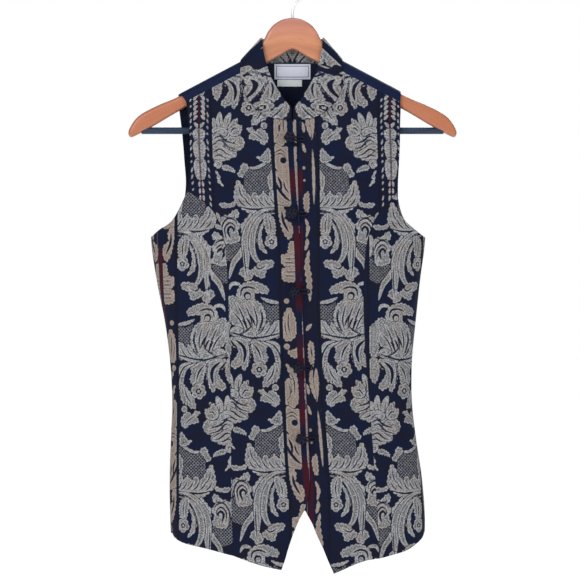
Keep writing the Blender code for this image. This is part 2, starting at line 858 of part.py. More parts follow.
def make_knots(collection):
    """The five knotted ball buttons, each lumpy from the cord it is tied in."""
    for number, drop in enumerate(KNOT_DROPS, start=1):
        foot, normal = knot_place(drop)
        mesh = bpy.data.meshes.new(f"knot_button_{number}")
        work = bmesh.new()
        bmesh.ops.create_uvsphere(work, u_segments=16, v_segments=10, radius=KNOT_RADIUS * MM)
        for vertex in work.verts:
            turn = math.atan2(vertex.co.z, vertex.co.x)
            lean = math.acos(max(-1.0, min(1.0, vertex.co.y / (KNOT_RADIUS * MM))))
            lump = 0.045 * math.cos(4 * turn) * math.sin(lean) ** 2 * math.cos(3 * lean)
            vertex.co *= KNOT_WAIST + lump
        lift = KNOT_RADIUS * KNOT_WAIST + 2 * LOOP_CORD_RADIUS + 1.4 * FIT_GAP
        bmesh.ops.translate(work, verts=work.verts[:], vec=foot + normal * lift * MM)
        work.to_mesh(mesh)
        work.free()
        mesh.shade_smooth()
        mesh.materials.append(material("knot"))
        collection.objects.link(bpy.data.objects.new(mesh.name, mesh))


def loop_path(drop):
    """A flat hairpin of cord from beneath a knot, out over the edge of the right front."""
    knot_x = edge_x(RIGHT_FRONT_EDGE, drop) - KNOT_INSET
    half_gap, reach_in, reach_out = 2.2, 2.5, 18.0
    turns = 5
    outline = []
    for i in range(turns + 1):
        angle = -math.pi / 2 + math.pi * i / turns
        outline.append((reach_out + half_gap * math.cos(angle), half_gap * math.sin(angle)))
    for i in range(turns + 1):
        angle = math.pi / 2 + math.pi * i / turns
        outline.append((-reach_in + half_gap * math.cos(angle), half_gap * math.sin(angle)))
    straight = 4
    path = []
    corners = outline + outline[:1]
    for a, b in zip(corners, corners[1:]):
        steps = straight if math.dist(a, b) > half_gap * 2 else 1
        for step in range(steps):
            path.append([a[k] + (b[k] - a[k]) * step / steps for k in (0, 1)])
    return [loop_point(knot_x + along, drop + up, along) for along, up in path]


def loop_point(x, drop, along):
    """A point of the loop's centre line, which steps down onto the under layer past the edge."""
    height = height_of(drop)
    turn = across(x, height)
    upper = front_surface(turn, height)
    lower = under_surface(turn, height)
    past = smooth_step((along - KNOT_INSET - 2.2) / 5.0)
    lift = outward(front_surface, turn, height) * (LOOP_CORD_RADIUS + FIT_GAP) * MM
    return upper.lerp(lower, past) + lift


def tube(name, points, radius, material_name, collection, cyclic=False, sides=2):
    """A round wire, cord or rod along a line of points."""
    curve = bpy.data.curves.new(name, "CURVE")
    curve.dimensions = "3D"
    line = curve.splines.new("POLY")
    line.points.add(len(points) - 1)
    for point, spot in zip(line.points, points):
        point.co = (*spot, 1.0)
    line.use_cyclic_u = cyclic
    line.use_smooth = True
    curve.bevel_depth = radius * MM
    curve.bevel_resolution = sides
    curve.use_fill_caps = not cyclic
    curve.materials.append(material(material_name))
    made = bpy.data.objects.new(name, curve)
    collection.objects.link(made)
    return made


def make_loops(collection):
    """The cord loops that hold the knots."""
    for number, drop in enumerate(KNOT_DROPS, start=1):
        path = loop_path(drop)
        name = f"button_loop_{number}"
        tube(name, path, LOOP_CORD_RADIUS, "knot", collection, cyclic=True, sides=1)


def to_mesh_object(curve_object, collection):
    """The curve as a welded mesh, which a Boolean can cut."""
    graph = bpy.context.evaluated_depsgraph_get()
    mesh = bpy.data.meshes.new_from_object(curve_object.evaluated_get(graph))
    work = bmesh.new()
    work.from_mesh(mesh)
    bmesh.ops.remove_doubles(work, verts=work.verts[:], dist=1e-5)
    bmesh.ops.recalc_face_normals(work, faces=work.faces[:])
    work.to_mesh(mesh)
    work.free()
    name = curve_object.name
    matrix = curve_object.matrix_world.copy()
    bpy.data.objects.remove(curve_object)
    made = bpy.data.objects.new(name, mesh)
    made.matrix_world = matrix
    collection.objects.link(made)
    return made


def cutter(name, points, radius, collection):
    """A closed round cutter along two points."""
    made = tube(name, points, radius, "steel", collection, sides=4)
    bpy.context.view_layer.update()
    made = to_mesh_object(made, collection)
    made.hide_render = True
    made.display_type = "WIRE"
    return made


def make_board(collection, cutters):
    """The flat wooden board of the hanger, with rounded edges and bores for hook and bar."""
    half = fine_line(HANGER_OUTLINE, HANGER_POINTS_PER_SPAN)
    outline = half + [(0.0, ARCH_TOP_DROP)] + [(-x, drop) for x, drop in half[:0:-1]]
    curve = bpy.data.curves.new("hanger_board", "CURVE")
    curve.dimensions = "2D"
    curve.fill_mode = "BOTH"
    curve.extrude = (BOARD_THICKNESS / 2 - BOARD_EDGE_RADIUS) * MM
    curve.bevel_depth = BOARD_EDGE_RADIUS * MM
    curve.bevel_resolution = 1
    curve.offset = -BOARD_EDGE_RADIUS * MM
    line = curve.splines.new("POLY")
    line.points.add(len(outline) - 1)
    for point, (x, drop) in zip(line.points, outline):
        point.co = (x * MM, -drop * MM, 0.0, 1.0)
    line.use_cyclic_u = True
    curve.materials.append(material("wood"))
    board = bpy.data.objects.new("hanger_board", curve)
    board.rotation_euler = (math.pi / 2, 0.0, 0.0)
    collection.objects.link(board)
    bpy.context.view_layer.update()
    board = to_mesh_object(board, collection)

    top = HANGER_OUTLINE[0].drop
    shank = (place(0, 0, top - 10), place(0, 0, top + HOOK_SHANK_DEPTH + FIT_GAP))
    bores = [cutter("hook_bore", shank, HOOK_WIRE_RADIUS + FIT_GAP, cutters)]
    reach = BAR_HALF_LENGTH + FIT_GAP
    for side, sign in (("right", -1), ("left", 1)):
        ends = (place(sign * (reach - 40), 0, BAR_DROP), place(sign * reach, 0, BAR_DROP))
        bores.append(cutter(f"{side}_bar_bore", ends, BAR_RADIUS + FIT_GAP, cutters))
    for bore in bores:
        cut = board.modifiers.new(bore.name, "BOOLEAN")
        cut.operation = "DIFFERENCE"
        cut.object = bore
    return board


def make_bar(collection):
    """The painted bar between the ends of the hanger's arms."""
    ends = (place(-BAR_HALF_LENGTH, 0, BAR_DROP), place(BAR_HALF_LENGTH, 0, BAR_DROP))
    return tube("hanger_bar", ends, BAR_RADIUS, "bar", collection, sides=4)


def make_hook(collection):
    """The wire hook, whose inside top is the origin."""
    middle = HOOK_WIRE_RADIUS - HOOK_LOOP_RADIUS
    path = []
    steps = 22
    first, last = math.radians(205), math.radians(-52)
    for i in range(steps + 1):
        angle = first + (last - first) * i / steps
        x = HOOK_LOOP_RADIUS * math.cos(angle)
        path.append((x, -(middle + HOOK_LOOP_RADIUS * math.sin(angle))))
    top = HANGER_OUTLINE[0].drop
    neck = [tuple(path[-2]), tuple(path[-1]), (4.0, 43.0), (0.6, 50.0), (0.0, 57.0), (0.0, top)]
    path = path[:-2] + fine_line(neck, 3)
    path.append((0.0, top + HOOK_SHANK_DEPTH))
    points = [place(x, 0.0, drop) for x, drop in path]
    return tube("hook", points, HOOK_WIRE_RADIUS, "steel", collection)


def main():
    """Builds the waistcoat and its hanger."""
    clear_scene()
    pieces = make_collection("waistcoat_on_hanger")
    cutters = make_collection("cutters")
    make_right_front(pieces)
    make_left_front(pieces)
    make_side_fronts(pieces)
    back = make_back(pieces)
    make_collar(pieces)
    make_labels(back, pieces)
    make_knots(pieces)
    make_loops(pieces)
    make_board(pieces, cutters)
    make_bar(pieces)
    make_hook(pieces)


main()
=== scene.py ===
"""Looks of a brocade waistcoat on its wooden hanger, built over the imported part.

Lengths in the tables are millimetres. "drop" is the distance below the hook's inside top, which is
the frame's origin, and x runs to the wearer's left, as in the part itself.
"""

import logging
import math
from dataclasses import dataclass
from enum import Enum
from typing import NamedTuple

import bpy
import numpy as np
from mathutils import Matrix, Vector


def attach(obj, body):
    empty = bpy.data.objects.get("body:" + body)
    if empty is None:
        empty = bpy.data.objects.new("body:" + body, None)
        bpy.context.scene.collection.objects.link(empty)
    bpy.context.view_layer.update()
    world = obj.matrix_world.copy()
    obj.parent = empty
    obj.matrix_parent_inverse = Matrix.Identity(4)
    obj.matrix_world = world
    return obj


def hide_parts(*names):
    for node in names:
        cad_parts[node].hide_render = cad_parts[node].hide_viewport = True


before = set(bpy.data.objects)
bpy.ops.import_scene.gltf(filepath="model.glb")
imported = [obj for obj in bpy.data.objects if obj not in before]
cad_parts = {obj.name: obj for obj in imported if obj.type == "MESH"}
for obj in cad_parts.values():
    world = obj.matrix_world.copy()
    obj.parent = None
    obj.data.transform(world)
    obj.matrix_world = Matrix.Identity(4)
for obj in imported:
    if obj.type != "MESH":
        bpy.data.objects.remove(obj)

logger = logging.getLogger("waistcoat")

Array = np.ndarray
Object = bpy.types.Object
Material = bpy.types.Material
MM = 0.001
BODY = "root"

# The cloth, as the part has it
CLOTH = 2.0
RIDGE_RADIUS = 11.0
ARC_EXCESS = RIDGE_RADIUS * (math.pi / 2 - 1)
SHOULDER_SEAM_DROP = 16.0

# Rows and columns of the part's own faces along each edge
SIDE_ROWS = 18
ARMHOLE_ROWS = 8
RIDGE_ROWS = 9
SHOULDER_COLUMNS = 5
NECK_COLUMNS = 8
SIDE_COLUMNS = 6

# The weaver's point paper: a square of it in millimetres, the half width and height of a repeat in
# squares, the drop of its top, and the squares to one unit of the cloth's UV map
SQUARE = 1.36
HALF_REPEAT = 92.0
REPEAT = 262.0
PAPER_TOP_DROP = 40.96
UV_SQUARES = 100.0

# Depths in squares: of bare ground, as the cloth carries it, and of a place far from every edge
BARE = -3.0
FAR = 9.0


class Level(NamedTuple):
    """Half widths and depths of the hanging body at one drop."""

    drop: float
    left: float
    right: float
    front: float
    back: float


class Spot(NamedTuple):
    """A point of the front view."""

    x: float
    drop: float


def table_of(kind: type, *rows: tuple) -> tuple:
    """A table whose rows are all of one kind, from plain tuples."""
    return tuple(kind(*row) for row in rows)


def spots(*pairs: tuple) -> tuple:
    """Points of the front view from plain pairs."""
    return table_of(Spot, *pairs)


class Rim(NamedTuple):
    """A point of the collar's free edge."""

    x: float
    y: float
    drop: float


class Fold(NamedTuple):
    """A soft hollow down the cloth where depth is positive, or a swell where it is negative."""

    top: float
    bottom: float
    top_x: float
    bottom_x: float
    width: float
    depth: float


class Crease(NamedTuple):
    """A short trough in the cloth, or a ridge where depth is negative, at an angle to the level."""

    x: float
    drop: float
    length: float
    angle: float
    width: float
    depth: float
    bow: float


class Face(Enum):
    """Which sheet of the hanging body a point lies on."""

    FRONT = "front"
    UNDER = "under layer of the front"
    BACK = "back"


BODY_LEVELS = table_of(
    Level,
    (130, -188, 180, 20, 22), (200, -192, 183, 30, 25), (290, -195, 184, 45, 29),
    (370, -194, 182, 52, 31), (424, -186, 175, 48, 30), (479, -175, 169, 41, 28),
    (533, -168, 164, 38, 27), (588, -165, 164, 40, 28), (642, -167, 170, 44, 31),
    (696, -169, 178, 47, 33), (751, -168, 182, 50, 35), (820, -165, 180, 52, 36),
)
RIGHT_PRINCESS_SEAM = spots(
    (-80, 796), (-83, 720), (-84, 588), (-86, 499), (-88, 425), (-93, 364), (-100, 342), (-111, 325),
    (-127, 311), (-143.5, 301),
)
LEFT_PRINCESS_SEAM = spots(
    (118, 800), (116, 750), (108, 628), (102, 556), (98, 499), (96.5, 430), (100, 377), (108, 348),
    (117.5, 331), (130, 316), (142.5, 303),
)
RIGHT_ARMHOLE_UNDER = spots(
    (-194, 363), (-182, 353), (-171, 346.5), (-162, 338), (-152, 320), (-143.5, 301),
)
LEFT_ARMHOLE_UNDER = spots(
    (142.5, 303), (146.5, 324), (153, 340), (165, 351), (174, 358), (182, 364),
)
RIGHT_ARMHOLE_FRONT = spots((-143.5, 301), (-139, 268), (-141, 220), (-145.5, 177.3))
LEFT_ARMHOLE_FRONT = spots((142.5, 303), (145, 268), (147, 225), (147.5, 178.4))
RIGHT_ARMHOLE_BACK = spots(
    (-194, 363), (-184, 357), (-172, 349), (-160, 336), (-151, 318), (-147, 290), (-149, 258),
    (-152, 220), (-156, 186),
)
LEFT_ARMHOLE_BACK = spots(
    (182, 364), (173, 358), (162, 349), (152, 337), (146.5, 320), (145.5, 290), (147, 255), (148, 215),
    (149, 182),
)
RIGHT_HEM_SIDE = spots((-165, 768), (-160, 775), (-146, 781), (-123, 786), (-80, 796))
RIGHT_HEM_FRONT = spots((-80, 796), (-58, 804), (-37, 810), (-15, 815))
LEFT_HEM_FRONT = spots((56, 820), (67, 815), (82, 808.5), (100, 802.5), (118, 800))
LEFT_HEM_SIDE = spots((118, 800), (132, 797), (154, 791), (169, 782), (178, 774), (181.5, 766))
BACK_HEM = spots(
    (-165, 768), (-140, 758), (-90, 746), (0, 740), (100, 746), (158, 757), (181.5, 766),
)
RIGHT_FRONT_EDGE = spots(
    (-15, 815), (-10, 801), (-6, 787), (0, 769), (9, 747), (16, 734), (22, 715), (23.5, 694),
    (22.4, 662), (14.3, 486), (7.5, 302), (4.8, 203.4),
)
LEFT_FRONT_EDGE = spots(
    (56, 820), (48, 802), (41, 785), (33, 768), (27, 753), (20, 740), (11, 722), (3.5, 700), (0, 670),
    (-8.5, 486), (-15.5, 302), (-18, 203.4),
)
NECK_SEAM_FRONT = spots(
    (-71.5, 138.2), (-67.5, 160), (-58.5, 178), (-42, 194), (-22, 202.4), (-0.8, 203.4),
)
COLLAR_FRONT_EDGE = table_of(
    Rim,
    (-39.6, -10.4, 108), (-36.6, -11.2, 122), (-29, -13.5, 145), (-15, -19, 170), (-1.2, -24, 188),
)
COLLAR_BACK_EDGE = table_of(
    Rim,
    (-39.6, -10.4, 108), (-40.3, -10.0, 102.5), (-40.8, -8.5, 97), (-41.3, -5.0, 92.5), (-41.5, 0, 90),
    (-41.3, 4.5, 90.2), (-40.6, 8.0, 90.6), (-38.6, 10.8, 91), (-31, 14.5, 88), (-21, 16.5, 85),
    (-11, 17.5, 83.5), (0, 18, 83),
)
FRONT_FOLDS = table_of(
    Fold,
    (300, 500, -152, -118, 16, 5.0), (300, 500, 150, 120, 16, 5.0), (560, 900, -122, -116, 18, 7.0),
    (540, 900, -48, -40, 20, -5.0), (560, 900, 136, 148, 18, 7.5), (600, 900, 66, 82, 18, -5.0),
    (150, 330, -100, -126, 18, 3.0), (150, 330, 98, 124, 18, 3.0),
)
BACK_FOLDS = table_of(
    Fold,
    (180, 900, -62, -78, 26, 8.0), (180, 900, 60, 84, 26, 8.0), (430, 900, -6, 4, 30, 6.0),
)
# Smaller creases, placed at the armholes, the waist, the princess seams and the hem
FRONT_CREASES = table_of(
    Crease,
    (-124, 262, 34, 62, 5, 1.1, 2), (-112, 292, 46, 48, 6, 1.3, -3), (-150, 372, 38, -28, 5, 1.2, 2),
    (-166, 398, 30, -36, 4, 1.0, -2), (-140, 428, 44, -18, 6, 1.2, 3), (-104, 452, 26, 12, 4, -0.8, 1),
    (-62, 470, 40, -14, 6, 0.9, -2), (-132, 505, 52, -8, 6, 1.4, 3), (-108, 538, 34, 10, 5, 1.1, -2),
    (-56, 552, 46, 6, 7, 0.9, 2), (-142, 566, 36, 14, 5, 1.2, -2), (-97, 612, 48, 78, 5, 1.2, 2),
    (-66, 688, 92, 84, 8, 1.3, -4), (-140, 704, 84, 96, 7, -1.5, 4), (-96, 748, 46, 88, 5, 1.0, 1),
    (128, 250, 40, -58, 5, 1.1, -2), (108, 286, 44, -46, 6, 1.2, 3), (146, 376, 36, 30, 5, 1.2, -2),
    (160, 404, 28, 38, 4, 1.0, 2), (130, 436, 46, 16, 6, 1.3, -3), (84, 462, 30, -10, 5, 0.8, 2),
    (128, 512, 48, 7, 6, 1.3, -3), (72, 528, 44, -8, 7, 0.9, 2), (142, 556, 34, -13, 5, 1.2, 2),
    (94, 574, 38, 9, 5, 1.0, -2), (92, 668, 88, 95, 8, 1.3, 4), (152, 700, 96, 86, 7, -1.6, -4),
    (52, 742, 58, 98, 6, 1.1, 2),
)
BACK_CREASES = table_of(
    Crease,
    (-128, 262, 52, 66, 7, 1.6, 3), (-96, 214, 64, -20, 8, 1.4, -4), (-142, 392, 58, -24, 7, 1.6, 3),
    (-120, 452, 72, -12, 8, 1.8, -4), (-58, 486, 60, 7, 7, 1.5, 3), (-126, 520, 66, 4, 8, 1.7, -3),
    (-98, 568, 52, 14, 7, 1.4, 3), (-30, 300, 90, 82, 10, 1.5, 5), (38, 340, 110, 97, 10, 1.6, -5),
    (118, 250, 56, -62, 7, 1.5, -3), (138, 388, 54, 26, 7, 1.6, -3), (112, 446, 76, 11, 8, 1.8, 4),
    (46, 502, 58, -6, 7, 1.4, -3), (124, 530, 62, -5, 8, 1.6, 3), (92, 584, 50, -15, 7, 1.4, -3),
    (-112, 660, 120, 86, 10, -2.0, 5), (122, 668, 110, 95, 10, -2.0, -5),
)
# Where the knot buttons sit, down the buttoned edge
KNOT_DROPS = (230.0, 332.5, 437.0, 541.5, 638.0)


def smooth_step(share: Array | float) -> Array:
    """Eases from 0 to 1."""
    held = np.clip(share, 0.0, 1.0)
    return held * held * (3.0 - 2.0 * held)


def spline(before: Array, start: Array, end: Array, after: Array, share: Array) -> Array:
    """A Catmull-Rom span.

    Args:
        before: The value before the span.
        start: The value at its start.
        end: The value at its end.
        after: The value after it.
        share: How far along the span, from 0 to 1.

    Returns:
        The value there.
    """
    b = end - before
    c = 2.0 * before - 5.0 * start + 4.0 * end - after
    d = -before + 3.0 * start - 3.0 * end + after
    return 0.5 * (2.0 * start + b * share + c * share**2 + d * share**3)


def fine_line(through: tuple, steps: int = 12) -> Array:
    """Many points on a smooth curve through a few.

    Args:
        through: The few points, in any number of dimensions.
        steps: New points to a span.

    Returns:
        The points of the curve, one to a row.
    """
    rows = np.array(through, dtype=float)
    last = len(rows) - 1
    line = []
    for i in range(last):
        near = [rows[min(max(i + k, 0), last)] for k in (-1, 0, 1, 2)]
        line += [spline(*near, step / steps) for step in range(steps)]
    return np.array(line + [rows[-1]])


def at_shares(through: tuple, shares: Array) -> Array:
    """Points at shares of the length of a smooth curve.

    Args:
        through: The points that the curve goes through.
        shares: The shares, from 0 to 1.

    Returns:
        The points there, one to a row.
    """
    line = fine_line(through)
    lengths = np.concatenate(([0.0], np.cumsum(np.linalg.norm(np.diff(line, axis=0), axis=1))))
    wanted = np.asarray(shares) * lengths[-1]
    return np.stack([np.interp(wanted, lengths, column) for column in line.T], axis=1)


def evenly(count: int) -> Array:
    """Shares from 0 to 1."""
    return np.linspace(0.0, 1.0, count + 1)


def with_mirror(line: Array) -> Array:
    """A line up to the middle, and on along its mirror image. x comes first in its rows."""
    mirror = np.array((-1.0,) + (1.0,) * (line.shape[1] - 1))
    return np.concatenate((line, line[-2::-1] * mirror))


def buttoned_edge(drop: Array | float) -> Array:
    """Where the right front's edge lies in the front view, at a drop."""
    edge = RIGHT_FRONT_EDGE[::-1]
    return np.interp(drop, [spot.drop for spot in edge], [spot.x for spot in edge])


@dataclass(frozen=True)
class HangingForm:
    """The form of the garment as it hangs: where a place on the cloth lies in space.

    The under layer lies a layer_step deeper up to tuck_start past the upper one's edge, and comes
    forward over tuck_blend. Below tuck_bottom the edge cuts away, and the tuck stays in its place.
    """

    neck_half_width: float = 73.0
    neck_point_drop: float = 123.0
    shoulder_slope: float = 0.529
    fill_start: float = 4.0
    fill_length: float = 90.0
    side_power: float = 3.0
    fold_growth: float = 1.6
    layer_step: float = 2.6
    tuck_start: float = 4.0
    tuck_blend: float = 32.0
    tuck_bottom: float = 734.0

    def level(self, name: str, drop: Array) -> Array:
        """One column of the body's table, smoothly between its rows.

        Args:
            name: The column.
            drop: Where to read it.

        Returns:
            The values.
        """
        drops = np.array([row.drop for row in BODY_LEVELS], dtype=float)
        values = np.array([getattr(row, name) for row in BODY_LEVELS], dtype=float)
        held = np.clip(drop, drops[0], drops[-1])
        row = np.clip(np.searchsorted(drops, held, side="right") - 1, 0, len(drops) - 2)
        near = [values[np.clip(row + k, 0, len(drops) - 1)] for k in (-1, 0, 1, 2)]
        return spline(*near, (held - drops[row]) / (drops[row + 1] - drops[row]))

    def ridge_drop(self, x: Array) -> Array:
        """Drop of the shoulder line, which also runs on across the neck as a guide."""
        return self.neck_point_drop + self.shoulder_slope * (np.abs(x) - self.neck_half_width)

    def half_width(self, side: Array, drop: Array) -> Array:
        """Half width of the body on the side that the sign of side gives."""
        return np.where(side > 0, self.level("right", drop), -self.level("left", drop))

    def across(self, x: Array, height: Array) -> Array:
        """A lateral position as a share of the way round to the side seam, from -1 to 1."""
        half = self.half_width(x, height - ARC_EXCESS)
        return np.arcsin(np.clip(x / half, -1.0, 1.0)) / (math.pi / 2)

    def on_cloth(self, seen: Array) -> Array:
        """Points of the front view as places on the cloth."""
        height = seen[:, 1] + ARC_EXCESS
        return np.stack((self.across(seen[:, 0], height), height), axis=1)

    def folds(self, folds: tuple, x: Array, drop: Array) -> Array:
        """How far the long folds push the cloth in.

        Args:
            folds: The folds.
            x: Places across.
            drop: Places down.

        Returns:
            Depths in millimetres.
        """
        total = np.zeros_like(x)
        for fold in folds:
            share = (drop - fold.top) / (fold.bottom - fold.top)
            middle = fold.top_x + (fold.bottom_x - fold.top_x) * share
            if fold.bottom > BODY_LEVELS[-1].drop:
                grown = smooth_step(share * self.fold_growth)
            else:
                grown = np.sin(math.pi * np.clip(share, 0.0, 1.0))
            inside = (share > 0.0) & (share < 1.0)
            total += inside * fold.depth * grown * np.exp(-(((x - middle) / fold.width) ** 2))
        return total

    def creases(self, creases: tuple, x: Array, drop: Array) -> Array:
        """How far the small creases push the cloth in.

        Args:
            creases: The creases.
            x: Places across.
            drop: Places down.

        Returns:
            Depths in millimetres.
        """
        total = np.zeros_like(x)
        for crease in creases:
            turn = math.radians(crease.angle)
            along = (x - crease.x) * math.cos(turn) - (drop - crease.drop) * math.sin(turn)
            aside = (x - crease.x) * math.sin(turn) + (drop - crease.drop) * math.cos(turn)
            share = np.clip(along / crease.length, -1.0, 1.0)
            aside = aside - crease.bow * share**2
            fade = np.cos(share * math.pi / 2) ** 2
            total += crease.depth * fade * np.exp(-((aside / crease.width) ** 2))
        return total

    def tuck(self, x: Array, drop: Array) -> Array:
        """How far the under layer lies behind the buttoned edge of the upper one."""
        past = x - buttoned_edge(np.minimum(drop, self.tuck_bottom)) - self.tuck_start
        return self.layer_step * (1.0 - smooth_step(past / self.tuck_blend))

    def point(self, turn: Array, height: Array, face: Face) -> Array:
        """Points of the cloth's outer face, in metres.

        Args:
            turn: From -1 at the right side seam to 1 at the left one.
            height: Length along the cloth below the shoulder line's guide.
            face: Which sheet.

        Returns:
            The points, with x, y and z last.
        """
        ratio = np.sin(turn * math.pi / 2)
        x = ratio * self.half_width(ratio, height - ARC_EXCESS)
        reach = height - self.ridge_drop(x)
        in_front = (reach < 0) | (face is not Face.BACK)
        reach = np.abs(reach)
        bend = np.minimum(reach / RIDGE_RADIUS, math.pi / 2)
        below = np.maximum(reach - RIDGE_RADIUS * math.pi / 2, 0.0) + RIDGE_RADIUS * (1 - np.cos(bend))
        base = RIDGE_RADIUS * np.sin(bend)
        drop = self.ridge_drop(x) + below
        round_off = np.sqrt(np.clip(1.0 - np.abs(ratio) ** self.side_power, 0.0, 1.0))
        depth = np.where(in_front, self.level("front", drop), self.level("back", drop))
        sunk = np.where(
            in_front,
            self.folds(FRONT_FOLDS, x, drop) + self.creases(FRONT_CREASES, x, drop),
            self.folds(BACK_FOLDS, x, drop) + self.creases(BACK_CREASES, x, drop),
        )
        filled = smooth_step((below - self.fill_start) / self.fill_length)
        y = base + ((depth - sunk) * round_off - RIDGE_RADIUS) * filled
        y = np.where(in_front, -y, y)
        if face is Face.UNDER:
            y = y + self.tuck(x, drop)
        return np.stack((x, y, -drop), axis=-1) * MM


FORM = HangingForm()

# Repeated parts of the chart: top and length of the column's leaves, places of the palmette's short
# dark strokes, and of the veins over its full leaf
CHAIN = ((129, 11), (141, 17), (159, 19), (208, 14), (224, 10))
CHAIN += ((236, 16), (254, 11), (267, 15), (284, 9), (295, 17), (314, 12), (328, 15), (345, 11))
BRUSH = ((57, 2), (53, 0), (49, -2))
VEINS = ((54, 60, 67, 311), (51, 55, 62, 303), (47, 48, 54, 304), (44, 42, 46, 304), (41, 37, 39, 308))


class Laid(Enum):
    """What a shape on the point paper lays on the cloth."""

    FIGURE = "solid pattern"
    NET = "fine net, as in the vases"
    GROUND = "bare ground, as in veins and the gaps between petals"


def from_line(line: Array, w: Array, q: Array) -> tuple:
    """How points lie beside a line.

    Args:
        line: The line's points.
        w: Squares away from the band.
        q: Squares down.

    Returns:
        Distances from the line, and how far along it the nearest place is.
    """
    runs = np.diff(line, axis=0)
    lengths = np.maximum(np.hypot(runs[:, 0], runs[:, 1]), 1e-6)
    before = np.concatenate(([0.0], np.cumsum(lengths)))
    nearest = np.full(w.shape, np.inf)
    along = np.zeros(w.shape)
    for start, run, length, passed in zip(line, runs, lengths, before):
        dw, dq = w - start[0], q - start[1]
        share = np.clip((dw * run[0] + dq * run[1]) / length**2, 0.0, 1.0)
        away = np.hypot(dw - share * run[0], dq - share * run[1])
        closer = away < nearest
        nearest = np.where(closer, away, nearest)
        along = np.where(closer, passed + share * length, along)
    return nearest, along


@dataclass(frozen=True)
class Stroke:
    """A tapered stroke: a stem, a narrow leaf, or a dark vein where it lays bare ground.

    The spine's points are squares away from the buttoned edge's band, and squares down. It is widest
    at the share of its length that fullest gives, and bite is how far its lobes are cut in.
    """

    spine: tuple
    width: float
    laid: Laid = Laid.FIGURE
    lobes: int = 0
    bite: float = 0.4
    fullest: float = 0.5
    bluntness: float = 0.6
    lobe_slant: float = 0.5
    lobe_power: float = 1.5

    def line(self) -> Array:
        """The smooth spine."""
        return fine_line(self.spine, 5)

    def reach(self) -> tuple:
        """Lowest and highest corners of the squares that it may touch."""
        line = self.line()
        return line.min(axis=0) - self.width, line.max(axis=0) + self.width

    def depth(self, w: Array, q: Array) -> Array:
        """How deep points lie inside it.

        Args:
            w: Squares away from the band.
            q: Squares down.

        Returns:
            Depths in squares.
        """
        line = self.line()
        nearest, along = from_line(line, w, q)
        total = np.hypot(*np.diff(line, axis=0).T).sum()
        share = np.clip(along / total, 0.0, 1.0)
        swell = np.sin(math.pi * share ** (math.log(0.5) / math.log(self.fullest)))
        half = self.width * np.maximum(swell, 0.0) ** self.bluntness
        if self.lobes:
            slant = np.clip(share - self.lobe_slant * nearest / total, 0.0, 1.0)
            notch = np.abs(np.sin(math.pi * self.lobes * slant))
            half = half * (1.0 - self.bite * (1.0 - notch) ** self.lobe_power)
        return half - nearest


@dataclass(frozen=True)
class Mass:
    """A filled shape inside a smooth closed line, with a scalloped edge where it has scallops."""

    edge: tuple
    scallops: float = 0.0
    bite: float = 1.3
    laid: Laid = Laid.FIGURE
    margin: float = 2.0
    plump: float = 0.3
    scallop_power: float = 1.4

    def reach(self) -> tuple:
        """Lowest and highest corners of the squares that it may touch."""
        edge = np.array(self.edge, dtype=float)
        return edge.min(axis=0) - self.margin, edge.max(axis=0) + self.margin

    def depth(self, w: Array, q: Array) -> Array:
        """How deep points lie inside it.

        Args:
            w: Squares away from the band.
            q: Squares down.

        Returns:
            Depths in squares.
        """
        closed = self.edge[-1:] + self.edge + self.edge[:2]
        line = fine_line(closed, 4)[4:-4]
        nearest, along = from_line(line, w, q)
        inside = np.zeros(w.shape, dtype=bool)
        for a, b in zip(line, line[1:]):
            crosses = (a[1] > q) != (b[1] > q)
            meet = a[0] + (q - a[1]) * (b[0] - a[0]) / ((b[1] - a[1]) or 1e-9)
            inside ^= crosses & (w < meet)
        depth = np.where(inside, nearest, -nearest)
        if self.scallops:
            notch = 1.0 - np.abs(np.sin(math.pi * along / self.scallops))
            depth = depth + self.plump - self.bite * notch**self.scallop_power
        return depth


@dataclass(frozen=True)
class Rosette:
    """A small round flower, or a plain round where it has no petals.

    waist is its radius between two petals, and eye that of the ring round its middle, as shares.
    """

    w: float
    q: float
    radius: float
    petals: int = 0
    turn: float = 0.3
    laid: Laid = Laid.FIGURE
    waist: float = 0.74
    roundness: float = 0.6
    eye: float = 0.27
    eye_line: float = 0.13

    def reach(self) -> tuple:
        """Lowest and highest corners of the squares that it may touch."""
        middle = np.array((self.w, self.q))
        return middle - self.radius, middle + self.radius

    def depth(self, w: Array, q: Array) -> Array:
        """How deep points lie inside it, with the gaps between its petals and round its eye.

        Args:
            w: Squares away from the band.
            q: Squares down.

        Returns:
            Depths in squares.
        """
        out = np.hypot(w - self.w, q - self.q)
        if not self.petals:
            return self.radius - out
        turn = np.arctan2(q - self.q, w - self.w) - self.turn
        bulge = np.abs(np.cos(self.petals * turn / 2))
        petal = self.waist + (1.0 - self.waist) * bulge**self.roundness
        ring = np.abs(out - self.eye * self.radius) - self.eye_line * self.radius
        return np.minimum(self.radius * petal - out, ring + 0.9 * bulge - 0.3)


Shape = Stroke | Mass | Rosette


def vein(width: float, *spine: tuple) -> Stroke:
    """A dark vein or gap."""
    return Stroke(spine, width, Laid.GROUND)


